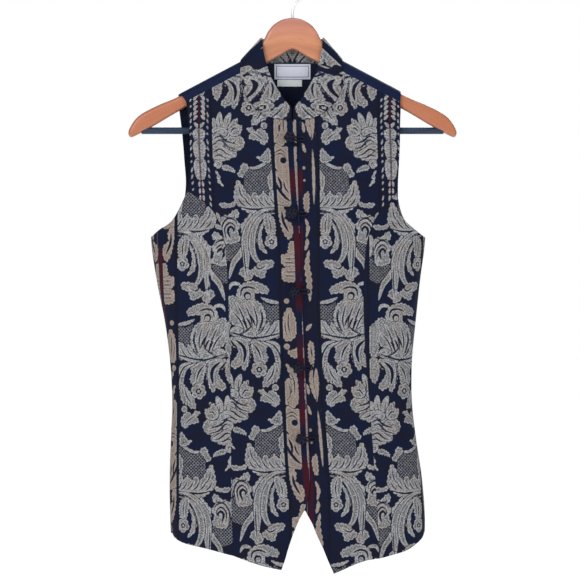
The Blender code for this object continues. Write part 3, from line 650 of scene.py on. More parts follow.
@dataclass
class PointPaper:
    """The pattern of the brocade, as charted, and how it falls on the cloth.

    All sizes are in squares: the dark line round a shape, the first row of a repeat, how far a shape
    is looked for, and each stripe that all motifs keep clear of, as its middle and half width.
    """

    gap: float = 0.8
    first_row: float = 96.0
    margin: float = 2.0
    band_width: float = 18.0
    band_stripe: tuple = (18.2, 1.7)
    column_stripe: tuple = (80.0, 1.3)
    middle_stripe: float = 2.8

    def __post_init__(self) -> None:
        """Charts the motifs of the damask and of the two narrow bands."""
        self.damask = self.vase() + self.scrolls() + self.flower() + self.palmette()
        self.damask += self.sprays() + self.sprigs() + self.column()
        self.band = self.band_motifs()
        self.under_band = self.under_band_motifs()

    def flower(self) -> list[Shape]:
        """The large many-petalled flower, seen from the side.

        Returns:
            Its shapes, hindmost first.
        """
        petals = [
            Mass(((79, 124), (79, 158), (70, 161), (60, 159), (54, 153), (58, 132), (68, 122)), 5.0),
            Stroke(((66, 136), (74, 128), (78, 117)), 3.3, fullest=0.6),
            Stroke(((60, 134), (57, 125), (53, 118)), 3.0, fullest=0.6),
            Stroke(((66, 134), (71, 123), (71, 111)), 3.4, fullest=0.6),
            Stroke(((64, 134), (64, 123), (60, 112)), 3.4, fullest=0.6),
            vein(0.5, (68, 130), (71, 122), (71, 116)),
            vein(0.5, (63, 130), (63, 122), (61, 116)),
            Mass(((61, 125), (56, 119), (53, 124), (48, 126), (50, 134), (57, 136), (62, 132)), 4.2, 0.9),
            Mass(((62, 137), (55, 137), (50, 136), (46, 142), (49, 149), (56, 151), (66, 146)), 4.6, 0.9),
            Mass(((79, 132), (77, 127), (69, 127), (63, 131), (65, 136), (72, 133)), 0.0),
            Mass(((79, 147), (73, 144), (66, 148), (58, 153), (55, 157), (66, 157)), 0.0),
        ]
        gaps = [
            vein(0.9, (79, 140), (71, 136), (64, 141), (52, 145)),
            vein(0.8, (78, 144), (70, 140), (62, 147), (51, 150)),
            vein(0.8, (79, 153), (71, 149), (64, 154), (57, 156)),
            vein(0.7, (78, 157), (72, 155), (66, 159)),
            vein(0.7, (60, 133), (56, 128), (52, 129)),
            vein(0.5, (78, 137), (74, 131), (68, 131)),
            vein(0.5, (58, 143), (53, 140)),
        ]
        return petals + gaps

    def palmette(self) -> list[Shape]:
        """The tall toothed leaf beside its net, and the long vein below it.

        Returns:
            Its shapes, hindmost first.
        """
        full = ((70, 297), (69, 309), (70, 319), (65, 326), (61, 331), (54, 337), (40, 336))
        full += ((34, 328), (33, 314), (38, 303), (47, 300), (57, 300), (64, 296))
        shapes = [
            Mass(((36, 303), (28, 306), (17, 305), (17, 330), (36, 330)), laid=Laid.NET),
            Stroke(((38, 297), (30, 301), (17, 303)), 2.0, lobes=5, bite=0.3),
            Mass(((68, 299), (74, 301), (79, 308), (79, 331), (70, 334)), 4.3, 1.6),
            Mass(full, 4.3, 1.6),
            Mass(((42, 337), (35, 327), (31, 322), (28, 326), (24, 321), (17, 322), (17, 337)), 4.5, 1.2),
            Mass(((70, 332), (66, 327), (60, 327), (56, 331), (61, 335), (67, 335))),
            Stroke(((71, 333), (60, 337), (48, 340.5), (34, 339), (17, 334)), 1.6),
        ]
        shapes += [vein(0.95, (a, 317 + d), (a - 3, 322 + d), (a - 5, 328 + d)) for a, d in BRUSH]
        shapes += [vein(0.6, (a, 325), (a + 3.5, 331), (a + 8, 335.5)) for a in (22, 28, 34)]
        shapes += [vein(0.7, (a, 331), (b, 319), (c, d)) for a, b, c, d in VEINS]
        shapes += [
            vein(0.8, (60, 334), (53, 331), (47, 325)),
            vein(0.6, (38, 308), (36, 318), (39, 328), (45, 334)),
            vein(0.4, (62, 330), (66, 331)),
            vein(0.8, (70, 331), (60, 334.5), (48, 338), (34, 336.5), (17, 332)),
        ]
        return shapes

    def vase(self) -> list[Shape]:
        """The netted vase on its bed of leaves, with the long vein beneath.

        Returns:
            Its shapes, hindmost first.
        """
        bed = ((55, 180), (58, 187), (60, 198), (58, 204), (50, 211), (41, 214), (17, 209), (17, 196))
        bed += ((22, 190), (26, 196), (30, 191), (34, 196), (39, 192), (43, 196), (47, 192), (50, 186))
        shapes = [
            Mass(((47, 168), (38, 171), (29, 167), (17, 160), (17, 205), (46, 205)), laid=Laid.NET),
            Stroke(((48, 166), (38, 168.5), (29, 165), (17, 158)), 1.7, lobes=6, bite=0.3),
            Mass(((50, 164), (45, 164), (43, 169), (47, 173), (50, 178), (55, 175), (52, 170)), 4.0),
            Stroke(((17, 168), (22, 178), (22, 192)), 3.2, lobes=4),
            Mass(bed, 5.2, 1.4),
            Mass(((75, 204), (70, 203), (65, 204), (60, 202), (59, 206), (66, 208), (72, 208)), 4.0, 0.8),
        ]
        shapes += [
            vein(0.65, (a, 197), (a - 3, 203), (a - 8, 207)) for a in (56, 49.5, 43, 36.5, 30, 24)
        ]
        shapes += [
            vein(0.6, (54, 185), (53, 193), (49, 200)),
            vein(0.9, (57, 206), (44, 209.5), (30, 209), (17, 207.5)),
        ]
        return shapes

    def scrolls(self) -> list[Shape]:
        """The long stems and scrolled leaves between the vase and the palmette.

        Returns:
            Its shapes, hindmost first.
        """
        shell = ((72, 216), (66, 215), (62, 211), (57, 210), (56, 216), (59, 220), (55, 225))
        shell += ((58, 232), (56, 240), (64, 244), (72, 243), (75, 234), (75, 223))
        fork = ((56, 268), (59, 274), (55, 277), (52, 282), (48, 280), (45, 276), (49, 269))
        hand = ((47, 272), (42, 266), (37, 262), (31, 260), (24, 261), (25, 267), (31, 270), (34, 278))
        hand += ((40, 277),)
        cap = ((62, 297), (60, 288), (54, 283), (46, 281), (38, 283), (30, 288), (31, 294), (40, 293))
        cap += ((44, 295), (43, 302), (50, 303), (58, 302))
        return [
            Mass(((79, 236), (54, 238), (53, 248), (60, 258), (66, 262), (79, 256)), laid=Laid.NET),
            Stroke(((79, 212), (76, 222), (79, 236)), 3.4, lobes=5),
            Mass(shell, 4.6, 1.3),
            vein(0.8, (73, 241), (74, 228), (68, 219), (60, 221), (58, 228)),
            vein(0.8, (70, 240), (71, 229), (66, 223), (61, 226), (61, 232)),
            vein(1.3, (66, 239), (68, 231), (65, 227), (62, 230), (64, 233)),
            vein(0.5, (60, 214), (61, 218), (66, 217)),
            vein(0.5, (72, 216), (66, 218), (62, 217)),
            Stroke(((52, 244), (57, 254), (64, 263), (69, 279)), 2.9, fullest=0.35),
            Stroke(((52, 238), (52, 228), (46, 219), (44, 213)), 3.6, lobes=4),
            Stroke(((16, 209), (32, 211), (44, 222), (51, 238), (51, 256), (52, 276)), 3.8, fullest=0.62),
            Mass(fork, 4.4, 1.0),
            Stroke(((18, 213), (33, 217), (42, 230), (45, 247), (41, 260), (32, 266)), 3.2, fullest=0.6),
            Mass(hand, 4.6, 1.2),
            Stroke(((22, 217), (31, 222), (37, 234), (36, 246), (30, 254)), 3.0, lobes=7, fullest=0.7),
            vein(0.6, (53, 243), (53, 256), (52, 271), (51, 277)),
            vein(0.5, (34, 224), (39, 236), (38, 248)),
            vein(0.7, (45, 262), (39, 269), (31, 265)),
            Stroke(((69, 290), (66, 284), (60, 284), (56, 287)), 1.8),
            Mass(cap, 4.8, 1.2),
            vein(1.0, (58, 297), (56, 289), (49, 287), (41, 290)),
            Rosette(51.0, 295.5, 3.8, laid=Laid.GROUND),
            Rosette(50.5, 296.5, 2.5),
        ]

    def sprays(self) -> list[Shape]:
        """The leaves and stems that hang below the palmette's vein.

        Returns:
            Its shapes, hindmost first.
        """
        left = ((70, 338), (62, 337), (53, 340), (49, 348), (50, 358), (53, 366), (57, 371), (60, 366))
        left += ((66, 369), (70, 364), (64, 356), (62, 349), (68, 346))
        fern = ((49, 341), (40, 341), (33, 345), (34, 352), (32, 358), (36, 364), (41, 362), (45, 366))
        fern += ((47, 356),)
        return [
            Mass(((70, 338), (79, 337), (79, 352), (74, 362), (69, 352)), 4.4, 1.3),
            Mass(left, 4.8, 1.3),
            Mass(fern, 3.6, 1.5),
            Stroke(((40, 341), (28, 347), (23, 358), (23, 372), (29, 384)), 2.6, fullest=0.6),
            Mass(((24, 362), (21, 374), (25, 382), (28, 379), (32, 386), (39, 386), (35, 374)), 4.8),
            Stroke(((34, 341), (24, 344), (18, 354), (17, 366)), 2.0),
            Rosette(26.0, 387.5, 3.3),
            vein(1.7, (64, 340), (57, 346), (55, 354), (57, 363)),
            vein(1.1, (69, 340), (66, 345), (62, 347)),
            vein(0.8, (48, 343), (42, 350), (39, 360)),
            vein(0.6, (52, 342), (50, 352), (52, 364)),
            vein(0.7, (26, 366), (29, 375), (35, 383)),
        ]

    def sprigs(self) -> list[Shape]:
        """The rosettes, ferns and small leaves that fill the ground.

        Returns:
            Its shapes, hindmost first.
        """
        pair = ((44, 129), (38, 127), (35, 131), (30, 128), (25, 131), (22, 136), (23, 142), (28, 145))
        pair += ((32, 141), (37, 140), (42, 138), (40, 133))
        return [
            Rosette(41.5, 107.5, 8.2, 6),
            Mass(((32, 215), (26, 214), (21, 219), (20, 228), (22, 236), (28, 236), (31, 228)), 3.4, 1.6),
            vein(0.6, (27, 217), (25, 226), (26, 235)),
            Rosette(25.0, 242.0, 7.2, 5),
            Mass(pair, 4.2, 1.3),
            vein(0.6, (38, 132), (32, 136), (27, 141)),
            Mass(((35, 157), (30, 156), (24, 149), (21, 150), (21, 162), (29, 162)), 4.4, 1.0),
            Rosette(73.5, 164.0, 4.8, 5),
            Mass(((70, 166), (65, 165), (58, 169), (57, 173), (64, 171), (69, 170)), 2.8, 1.2),
            Stroke(((77, 170), (74, 176), (74, 181), (69, 187)), 2.0, lobes=4, bite=0.7),
        ]

    def column(self) -> list[Shape]:
        """The narrow chain of leaves between the dark stripes, and the dashes beside it.

        Returns:
            Its shapes, hindmost first.
        """
        shapes = []
        for q, long in CHAIN:
            edge = ((93, q), (88, q), (85.6, q + 0.35 * long), (88, q + long), (93, q + long))
            shapes += [Mass(edge, 3.2, 0.7)]
            slants = (q + share * long for share in (0.25, 0.5, 0.75))
            shapes += [vein(0.4, (90.4, d + 1.6), (87.4, d - 0.6)) for d in slants]
        shapes += [Stroke(((91, q), (88.6, q + 1), (86.2, q + 4.6)), 1.5) for q in range(95, 120, 5)]
        shapes += [Stroke(((90.6, 127.5), (89, 124), (86.6, 122)), 1.9, lobes=2, bite=0.5)]
        shapes += [Stroke(((84.2, q), (82.6, q + 3 + q % 4)), 0.9) for q in range(97, 203, 7)]
        shapes += [Stroke(((90.6, q), (90, q + 6)), 1.3) for q in range(181, 205, 7)]
        return shapes

    def band_motifs(self) -> list[Shape]:
        """The tan motifs of the narrow band beside the buttoned edge.

        Returns:
            Its shapes, hindmost first.
        """
        top_leaf = ((15, 117), (9, 118), (8, 127), (12, 133), (9, 140), (12, 147), (17, 142), (17, 125))
        curled_leaf = ((17, 208), (12, 206), (9, 212), (10, 219), (4, 224), (3, 233), (8, 240), (14, 230))
        bud = ((10, 307), (15, 314), (17, 326), (16, 339), (9, 341), (3, 334), (3, 322), (6, 312))
        long_leaf = ((15, 364), (9, 368), (4, 376), (3, 400), (9, 408), (14, 402), (10, 392), (10, 380))
        return [
            Mass(top_leaf, 5.0),
            vein(0.6, (13, 120), (11, 130), (14, 142)),
            Mass(((17, 148), (8, 147), (2, 152), (2, 203), (17, 203)), 0.0),
            *(vein(0.6, (17, 153 + d), (10, 150 + d), (4, 155 + d)) for d in (0.0, 3.5)),
            Rosette(8.0, 160.5, 3.2, laid=Laid.GROUND),
            vein(1.5, (17, 182), (14, 190), (8, 198), (3, 202)),
            vein(1.2, (15, 176), (12, 184), (12, 192)),
            vein(0.8, (9, 180), (8, 188), (4, 194)),
            vein(0.7, (17, 168), (14, 173)),
            Mass(curled_leaf, 5.0),
            vein(1.3, (13, 211), (12, 222), (7, 233)),
            Mass(((8, 243), (3, 242), (2, 257), (10, 255), (9, 249)), 4.0),
            Mass(((17, 256), (10, 254), (2, 257), (2, 266), (11, 267), (17, 263)), 4.4),
            Mass(((17, 270), (10, 267), (2, 268), (2, 281), (12, 282), (17, 278)), 4.4),
            *(vein(0.55, (2, a), (8, a), (14, a)) for a in (259, 263, 272, 276)),
            Rosette(12.0, 301.0, 2.6),
            Mass(bud, 5.0),
            vein(0.7, (10, 312), (11, 324), (9, 336)),
            vein(0.5, (14, 320), (14, 330), (12, 337)),
            Rosette(13.0, 346.5, 3.0),
            Mass(((13, 351), (8, 350), (2, 348), (2, 358), (9, 357)), 4.0),
            Mass(long_leaf, 6.0),
            vein(0.6, (11, 370), (7, 382), (7, 396)),
        ]

    def under_band_motifs(self) -> list[Shape]:
        """The sparse motifs of the band that shows on the under layer.

        Returns:
            Its shapes, hindmost first.
        """
        return [
            Stroke(((13.5, 106), (13, 120), (12.5, 140)), 2.8, lobes=6, bite=0.25),
            Stroke(((13, 148), (13.5, 165), (14, 205)), 1.6, lobes=7, bite=0.2),
            Stroke(((0, 120), (4, 126), (5, 133)), 2.0, lobes=2),
            Stroke(((1, 142), (4, 147), (6, 153)), 2.0, lobes=2),
            Rosette(4.0, 168.0, 1.7),
            Rosette(4.4, 180.5, 1.3),
            Mass(((9, 193), (5, 194), (3, 200), (5, 212), (9, 211)), 4.4),
            Stroke(((5, 218), (8, 228), (6, 238)), 2.0, lobes=3),
            Stroke(((7, 238), (7, 244), (5, 251)), 2.1, lobes=2),
            Stroke(((9, 250), (7, 265), (9, 280), (10, 302)), 3.4, lobes=8, bite=0.5),
            Stroke(((11, 324), (8, 327), (5, 331)), 1.9),
            Mass(((7, 342), (12, 344), (12, 362), (8, 364), (6, 356)), 4.0),
            Stroke(((11, 364), (8, 376), (9, 388), (12, 400)), 2.2, lobes=6, bite=0.4),
            vein(0.7, (9, 346), (10, 358)),
        ]

    def weave(self, shapes: list[Shape], w: Array, q: Array) -> tuple:
        """Weaves shapes over one another, each with a thin dark ground line round it.

        Args:
            shapes: The shapes, hindmost first.
            w: Squares away from the buttoned edge's band.
            q: Squares down.

        Returns:
            Depths inside the figure and inside the net.
        """
        shape_of, w = w.shape, w.ravel()
        down = (q.ravel() - self.first_row) % REPEAT + self.first_row
        figure, net = np.full(w.shape, -FAR), np.full(w.shape, -FAR)
        for shape in shapes:
            low, high = shape.reach()
            low, high = low - self.margin, high + self.margin
            for lift in (-REPEAT, 0.0, REPEAT):
                close = (w > low[0]) & (w < high[0])
                close &= (down > low[1] + lift) & (down < high[1] + lift)
                near = np.flatnonzero(close)
                if not len(near):
                    continue
                depth = shape.depth(w[near], down[near] - lift)
                gap = 0.0 if shape.laid is Laid.GROUND else self.gap
                figure[near] = np.minimum(figure[near], -(depth + gap))
                net[near] = np.minimum(net[near], -(depth + gap))
                if shape.laid is not Laid.GROUND:
                    kept = figure if shape.laid is Laid.FIGURE else net
                    kept[near] = np.maximum(kept[near], depth)
        return tuple(np.maximum(values, BARE).reshape(shape_of) for values in (figure, net))

    def damask_at(self, w: Array, q: Array) -> tuple:
        """The damask and the band's motifs, where each belongs.

        Args:
            w: Squares away from the band's middle, before the pattern is folded.
            q: Squares down.

        Returns:
            Depths inside the figure and inside the net.
        """
        folded = HALF_REPEAT - np.abs((w % (2 * HALF_REPEAT)) - HALF_REPEAT)
        damask, band = self.weave(self.damask, folded, q), self.weave(self.band, folded, q)
        edge = folded - self.middle_stripe
        for middle, half in (self.band_stripe, self.column_stripe):
            edge = np.minimum(edge, np.abs(folded - middle) - half)
        in_band = folded < self.band_width
        return tuple(np.minimum(np.where(in_band, a, b), edge) for a, b in zip(band, damask))


PAPER = PointPaper()


@dataclass
class Weft:
    """What each point of a brocade sheet carries: its squares, and its depth in figure and net."""

    w: Array
    q: Array
    solid: Array
    net: Array

    def part(self, rows: Array, columns: Array) -> "Weft":
        """The weft at some rows and columns, twice over, as for a narrow strip."""
        taken = np.ix_(rows, columns)
        return Weft(*(np.tile(values[taken].ravel(), (2, 1)) for values in vars(self).values()))


class Cloths(NamedTuple):
    """What a piece is sewn of: its outer cloth and the one inside."""

    outer: Material
    lining: Material


def deselect() -> None:
    """Leaves nothing selected, so that the next operator acts on its own piece alone."""
    for item in bpy.context.selected_objects:
        item.select_set(False)


def choose(item: Object) -> Object:
    """Selects one object and makes it active.

    Args:
        item: The object.

    Returns:
        The same object.
    """
    deselect()
    item.select_set(True)
    bpy.context.view_layer.objects.active = item
    return item


def smoothed(item: Object, angle: float = 50.0) -> Object:
    """Shades it smooth, apart from edges sharper than the angle in degrees.

    Args:
        item: The object.
        angle: The sharpest edge that is shaded smooth.

    Returns:
        The same object.
    """
    choose(item)
    bpy.ops.object.shade_smooth_by_angle(angle=math.radians(angle))
    return item


def joined(name: str, items: list) -> Object:
    """Joins objects into one and welds its doubles.

    Args:
        name: The new name.
        items: The objects.

    Returns:
        The joined object.
    """
    deselect()
    for item in items:
        item.select_set(True)
    bpy.context.view_layer.objects.active = items[0]
    if len(items) > 1:
        bpy.ops.object.join()
    whole = bpy.context.view_layer.objects.active
    whole.name = name
    whole.data.name = name
    bpy.ops.object.mode_set(mode="EDIT")
    bpy.ops.mesh.select_all(action="SELECT")
    bpy.ops.mesh.remove_doubles(threshold=1e-6)
    bpy.ops.object.mode_set(mode="OBJECT")
    return whole


def grid_normals(points: Array) -> Array:
    """Unit normals of a grid of points.

    Args:
        points: Rows of columns of points.

    Returns:
        The normals: columns' direction crossed with rows' direction.
    """
    up, along = np.gradient(points, axis=0), np.gradient(points, axis=1)
    normal = np.cross(along, up)
    return normal / np.maximum(np.linalg.norm(normal, axis=-1, keepdims=True), 1e-12)


def spread(name: str, points: Array, weft: Weft, slot: int, turned: bool) -> Object:
    """A sheet of faces over a grid of points.

    Args:
        name: Its name.
        points: Rows of columns of points, in metres.
        weft: What each point carries.
        slot: The material slot of its faces.
        turned: Whether its faces look the other way.

    Returns:
        The object.
    """
    rows, columns = points.shape[0] - 1, points.shape[1] - 1
    deselect()
    bpy.ops.mesh.primitive_grid_add(x_subdivisions=columns, y_subdivisions=rows, size=1.0)
    sheet = bpy.context.object
    sheet.name = name
    mesh = sheet.data
    flat = np.empty(len(mesh.vertices) * 3)
    mesh.vertices.foreach_get("co", flat)
    flat = flat.reshape(-1, 3)
    i = np.rint((flat[:, 0] + 0.5) * columns).astype(int)
    j = np.rint((flat[:, 1] + 0.5) * rows).astype(int)
    mesh.vertices.foreach_set("co", points[j, i].ravel())
    for label, values in (("solid", weft.solid), ("net", weft.net)):
        mesh.attributes.new(label, "FLOAT", "POINT").data.foreach_set("value", values[j, i])
    corner = np.empty(len(mesh.loops), dtype=np.int32)
    mesh.loops.foreach_get("vertex_index", corner)
    paper = np.stack((weft.w[j, i], weft.q[j, i]), axis=1) / UV_SQUARES
    mesh.uv_layers[0].name = "paper"
    mesh.uv_layers[0].data.foreach_set("uv", paper[corner].ravel())
    mesh.polygons.foreach_set("material_index", np.full(len(mesh.polygons), slot, dtype=np.int32))
    if turned:
        mesh.flip_normals()
    mesh.update()
    return sheet


def lined(name: str, points: Array, step: int, slot: int, turned: bool) -> Object:
    """A plain inner layer with large faces, which keeps every point along its edges.

    Args:
        name: Its name.
        points: Rows of columns of points, in metres.
        step: How many rows and columns go to one of its faces.
        slot: The material slot of its faces.
        turned: Whether its faces look the other way.

    Returns:
        The object.
    """
    rows, columns = points.shape[0] - 1, points.shape[1] - 1
    cuts = [
        np.unique(np.rint(np.linspace(0, n, max(2, round(n / step) + 1))).astype(int))
        for n in (rows, columns)
    ]
    numbers, faces = {}, []
    for low, high in zip(cuts[0], cuts[0][1:]):
        for first, last in zip(cuts[1], cuts[1][1:]):
            ring = [(low, i) for i in (range(first, last) if low == 0 else (first,))]
            ring += [(j, last) for j in (range(low, high) if last == columns else (low,))]
            ring += [(high, i) for i in (range(last, first, -1) if high == rows else (last,))]
            ring += [(j, first) for j in (range(high, low, -1) if first == 0 else (high,))]
            faces.append([numbers.setdefault(spot, len(numbers)) for spot in ring])
    mesh = bpy.data.meshes.new(name)
    mesh.from_pydata([points[spot] for spot in numbers], [], faces)
    mesh.uv_layers.new(name="paper")
    mesh.polygons.foreach_set("material_index", np.full(len(faces), slot, dtype=np.int32))
    if turned:
        mesh.flip_normals()
    layer = bpy.data.objects.new(name, mesh)
    bpy.context.scene.collection.objects.link(layer)
    return layer


def coons(bottom: Array, top: Array, left: Array, right: Array) -> Array:
    """A grid of cloth places filled in from its four edges, from the hem up.

    What an edge bows by fades into the piece, by a power of the way across it.

    Args:
        bottom: Places along the hem.
        top: Places along the top.
        left: Places up the left edge.
        right: Places up the right edge.

    Returns:
        Rows of columns of places.
    """
    u = evenly(len(bottom) - 1)[None, :, None]
    v = level_shares(left)[:, None, None]
    low = (1 - u[0]) * bottom[0] + u[0] * bottom[-1]
    high = (1 - u[0]) * top[0] + u[0] * top[-1]
    left_line = (1 - v[:, 0]) * bottom[0] + v[:, 0] * top[0]
    right_line = (1 - v[:, 0]) * bottom[-1] + v[:, 0] * top[-1]
    up, aside = 4, 3
    grid = (1 - v) * low[None] + v * high[None]
    grid = grid + (1 - v) ** up * (bottom - low)[None] + v**up * (top - high)[None]
    grid = grid + (1 - u) ** aside * (left - left_line)[:, None]
    return grid + u**aside * (right - right_line)[:, None]


@dataclass
class ClothPiece:
    """One cut piece of the garment: a dense outer face, a turned edge and a plain lining.

    rows_fine and columns_fine are how many rows and columns of small faces go to one of the part's
    own. Its face dips by seam_dip at its edges, over about seam_width. hand is 1 where rows and
    columns cross outwards, otherwise -1.
    """

    node: str
    face: Face
    rows_fine: int
    columns_fine: int
    lining_step: int = 4
    seam_dip: float = 0.55
    seam_width: float = 1.1
    rests_on: tuple = ("back",)
    hand: float = 1.0

    def places(self) -> Array:
        """The grid of places on the cloth, from the hem up and from the wearer's right."""
        raise NotImplementedError

    def weft_of(self, places: Array, points: Array) -> Weft:
        """What the points carry for their finish."""
        bare = np.full(points.shape[:2], BARE)
        return Weft(bare, bare, bare, bare)

    def edge_distance(self, points: Array) -> Array:
        """Distance of each point from the nearest edge of its piece, along its row or column.

        Args:
            points: The grid, in metres.

        Returns:
            Distances in millimetres.
        """
        far = []
        for axis in (0, 1):
            steps = np.linalg.norm(np.diff(points, axis=axis), axis=-1) / MM
            start = np.zeros_like(points[..., 0])
            first = [slice(None), slice(None)]
            first[axis] = slice(1, None)
            start[tuple(first)] = np.cumsum(steps, axis=axis)
            total = np.take(start, [-1], axis=axis)
            far.append(np.minimum(start, total - start))
        return np.minimum(*far)

    def points_of(self, places: Array) -> Array:
        """The outer face's points, in metres."""
        return FORM.point(places[..., 0], places[..., 1], self.face)

    def build(self, cloths: Cloths) -> Object:
        """Makes the outer face, the turned edge and the lining, and joins them in place of the node.

        Args:
            cloths: What it is sewn of.

        Returns:
            The finished piece.
        """
        places = self.places()
        points = self.points_of(places)
        outward = grid_normals(points) * self.hand
        edge = self.edge_distance(points)
        weft = self.weft_of(places, points)
        dip = self.seam_dip * np.exp(-((edge / self.seam_width) ** 2))
        outer = points - outward * dip[..., None] * MM
        turned = self.hand < 0
        sheets = [spread(self.node, outer, weft, 0, turned)]
        inner = points - outward * CLOTH * MM
        sheets += self.turned_edge(outer, inner, weft, turned)
        sheets.append(self.inside(inner, weft, not turned))
        for sheet in sheets:
            for cloth in cloths:
                sheet.data.materials.append(cloth)
        piece = smoothed(joined(f"{self.node}_cloth", sheets), 60)
        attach(piece, BODY)
        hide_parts(self.node)
        area, width, length = self.cut(points)
        return piece

    def inside(self, inner: Array, weft: Weft, turned: bool) -> Object:
        """The layer that faces the wearer: a plain lining."""
        return lined(self.node, inner, self.lining_step, 1, turned)

    def turned_edge(self, outer: Array, inner: Array, weft: Weft, turned: bool) -> list:
        """The four narrow strips where the cloth turns in at its edges.

        Args:
            outer: The outer face's points.
            inner: The lining's points.
            weft: What the outer points carry.
            turned: Whether the outer faces look the other way.

        Returns:
            The strips.
        """
        strips = []
        rows, columns = np.arange(outer.shape[0]), np.arange(outer.shape[1])
        for axis, index, flip in ((0, 0, False), (0, -1, True), (1, 0, True), (1, -1, False)):
            points = np.stack((np.take(inner, index, axis=axis), np.take(outer, index, axis=axis)))
            taken = (rows[[index]], columns) if axis == 0 else (rows, columns[[index]])
            carried = weft.part(*taken)
            strips.append(spread(f"{self.node}_edge", points, carried, 0, flip != turned))
        return strips

    def cut(self, points: Array) -> tuple:
        """The flat cut that the piece was sewn from.

        Args:
            points: The outer face's points.

        Returns:
            Its area in square metres, and its width and length in metres.
        """
        a, b, c, d = points[:-1, :-1], points[:-1, 1:], points[1:, 1:], points[1:, :-1]
        area = 0.5 * np.linalg.norm(np.cross(c - a, d - b), axis=-1).sum()
        across = np.linalg.norm(np.diff(points[..., :2], axis=1), axis=-1).sum(axis=1).max()
        along = np.linalg.norm(np.diff(points, axis=0), axis=-1).sum(axis=0).max()
        return float(min(area, across * along)), float(across), float(along)


def level_shares(edge: Array) -> Array:
    """Shares of the climb up an edge, so that the opposite edge keeps its rows level."""
    return (edge[0, 1] - edge[:, 1]) / (edge[0, 1] - edge[-1, 1])


def shoulder_seam(outer_x: float, inner_x: float, count: int) -> Array:
    """The shoulder seam in the front view, in front of the shoulder line."""
    x = outer_x + (inner_x - outer_x) * evenly(count)
    return np.stack((x, FORM.ridge_drop(x) + SHOULDER_SEAM_DROP), axis=1)


def neck_front(sign: int, count: int) -> Array:
    """The neck seam from the shoulder seam to the centre front, on one half.

    Args:
        sign: -1 for the wearer's right half and 1 for the left one.
        count: How many spans it has.

    Returns:
        Its points in the front view.
    """
    line = at_shares(NECK_SEAM_FRONT, evenly(count))
    line[:, 0] *= -sign
    return line


class Counted(Enum):
    """Which way the squares of the pattern count on a piece."""

    TO_RIGHT_SIDE = 1.0
    TO_LEFT_SIDE = -1.0


@dataclass
class BrocadePiece(ClothPiece):
    """A piece of brocade, with the line from which its pattern is counted.

    start is that line in the front view, at a few drops, and start_squares its own place in squares.
    """

    start: tuple = ()
    start_squares: float = 0.0
    counted: Counted = Counted.TO_RIGHT_SIDE
    sunk_squares: float = 0.0

    def arc(self, turn: Array, height: Array) -> Array:
        """Length round the front along the level, in millimetres from the middle.

        Args:
            turn: Places round the body.
            height: Places down the cloth.

        Returns:
            The lengths.
        """
        half, step = 200, 10.0
        turns = np.linspace(-1.0, 1.0, 2 * half + 1)
        heights = np.arange(130.0, 850.0, step)
        flat = FORM.point(*np.meshgrid(turns, heights), Face.FRONT)[..., :2] / MM
        steps = np.linalg.norm(np.diff(flat, axis=1), axis=-1)
        lengths = np.concatenate((np.zeros((len(heights), 1)), np.cumsum(steps, axis=1)), axis=1)
        lengths -= lengths[:, [half]]
        down = np.clip((height - heights[0]) / step, 0.0, len(heights) - 1.001)
        aside = np.clip((turn + 1.0) * half, 0.0, 2 * half - 0.001)
        j, i = down.astype(int), aside.astype(int)
        dj, di = down - j, aside - i
        near = (1 - di) * lengths[j, i] + di * lengths[j, i + 1]
        below = (1 - di) * lengths[j + 1, i] + di * lengths[j + 1, i + 1]
        return (1 - dj) * near + dj * below

    def weft_of(self, places: Array, points: Array) -> Weft:
        """Lays the pattern on the piece.

        Args:
            places: Places on the cloth.
            points: The outer face's points.

        Returns:
            What the points carry.
        """
        height = places[..., 1]
        drop = -points[..., 2] / MM
        drops = [spot.drop for spot in self.start]
        start_x = np.interp(drop, drops, [spot.x for spot in self.start])
        begun = self.arc(FORM.across(start_x, height), height)
        along = (begun - self.arc(places[..., 0], height)) * self.counted.value
        w = self.start_squares + along / SQUARE
        q = (drop - PAPER_TOP_DROP) / SQUARE - self.sunk_squares
        return self.patterned(w, q)

    def patterned(self, w: Array, q: Array) -> Weft:
        """The pattern at places on the point paper."""
        return Weft(w, q, *PAPER.damask_at(w, q))


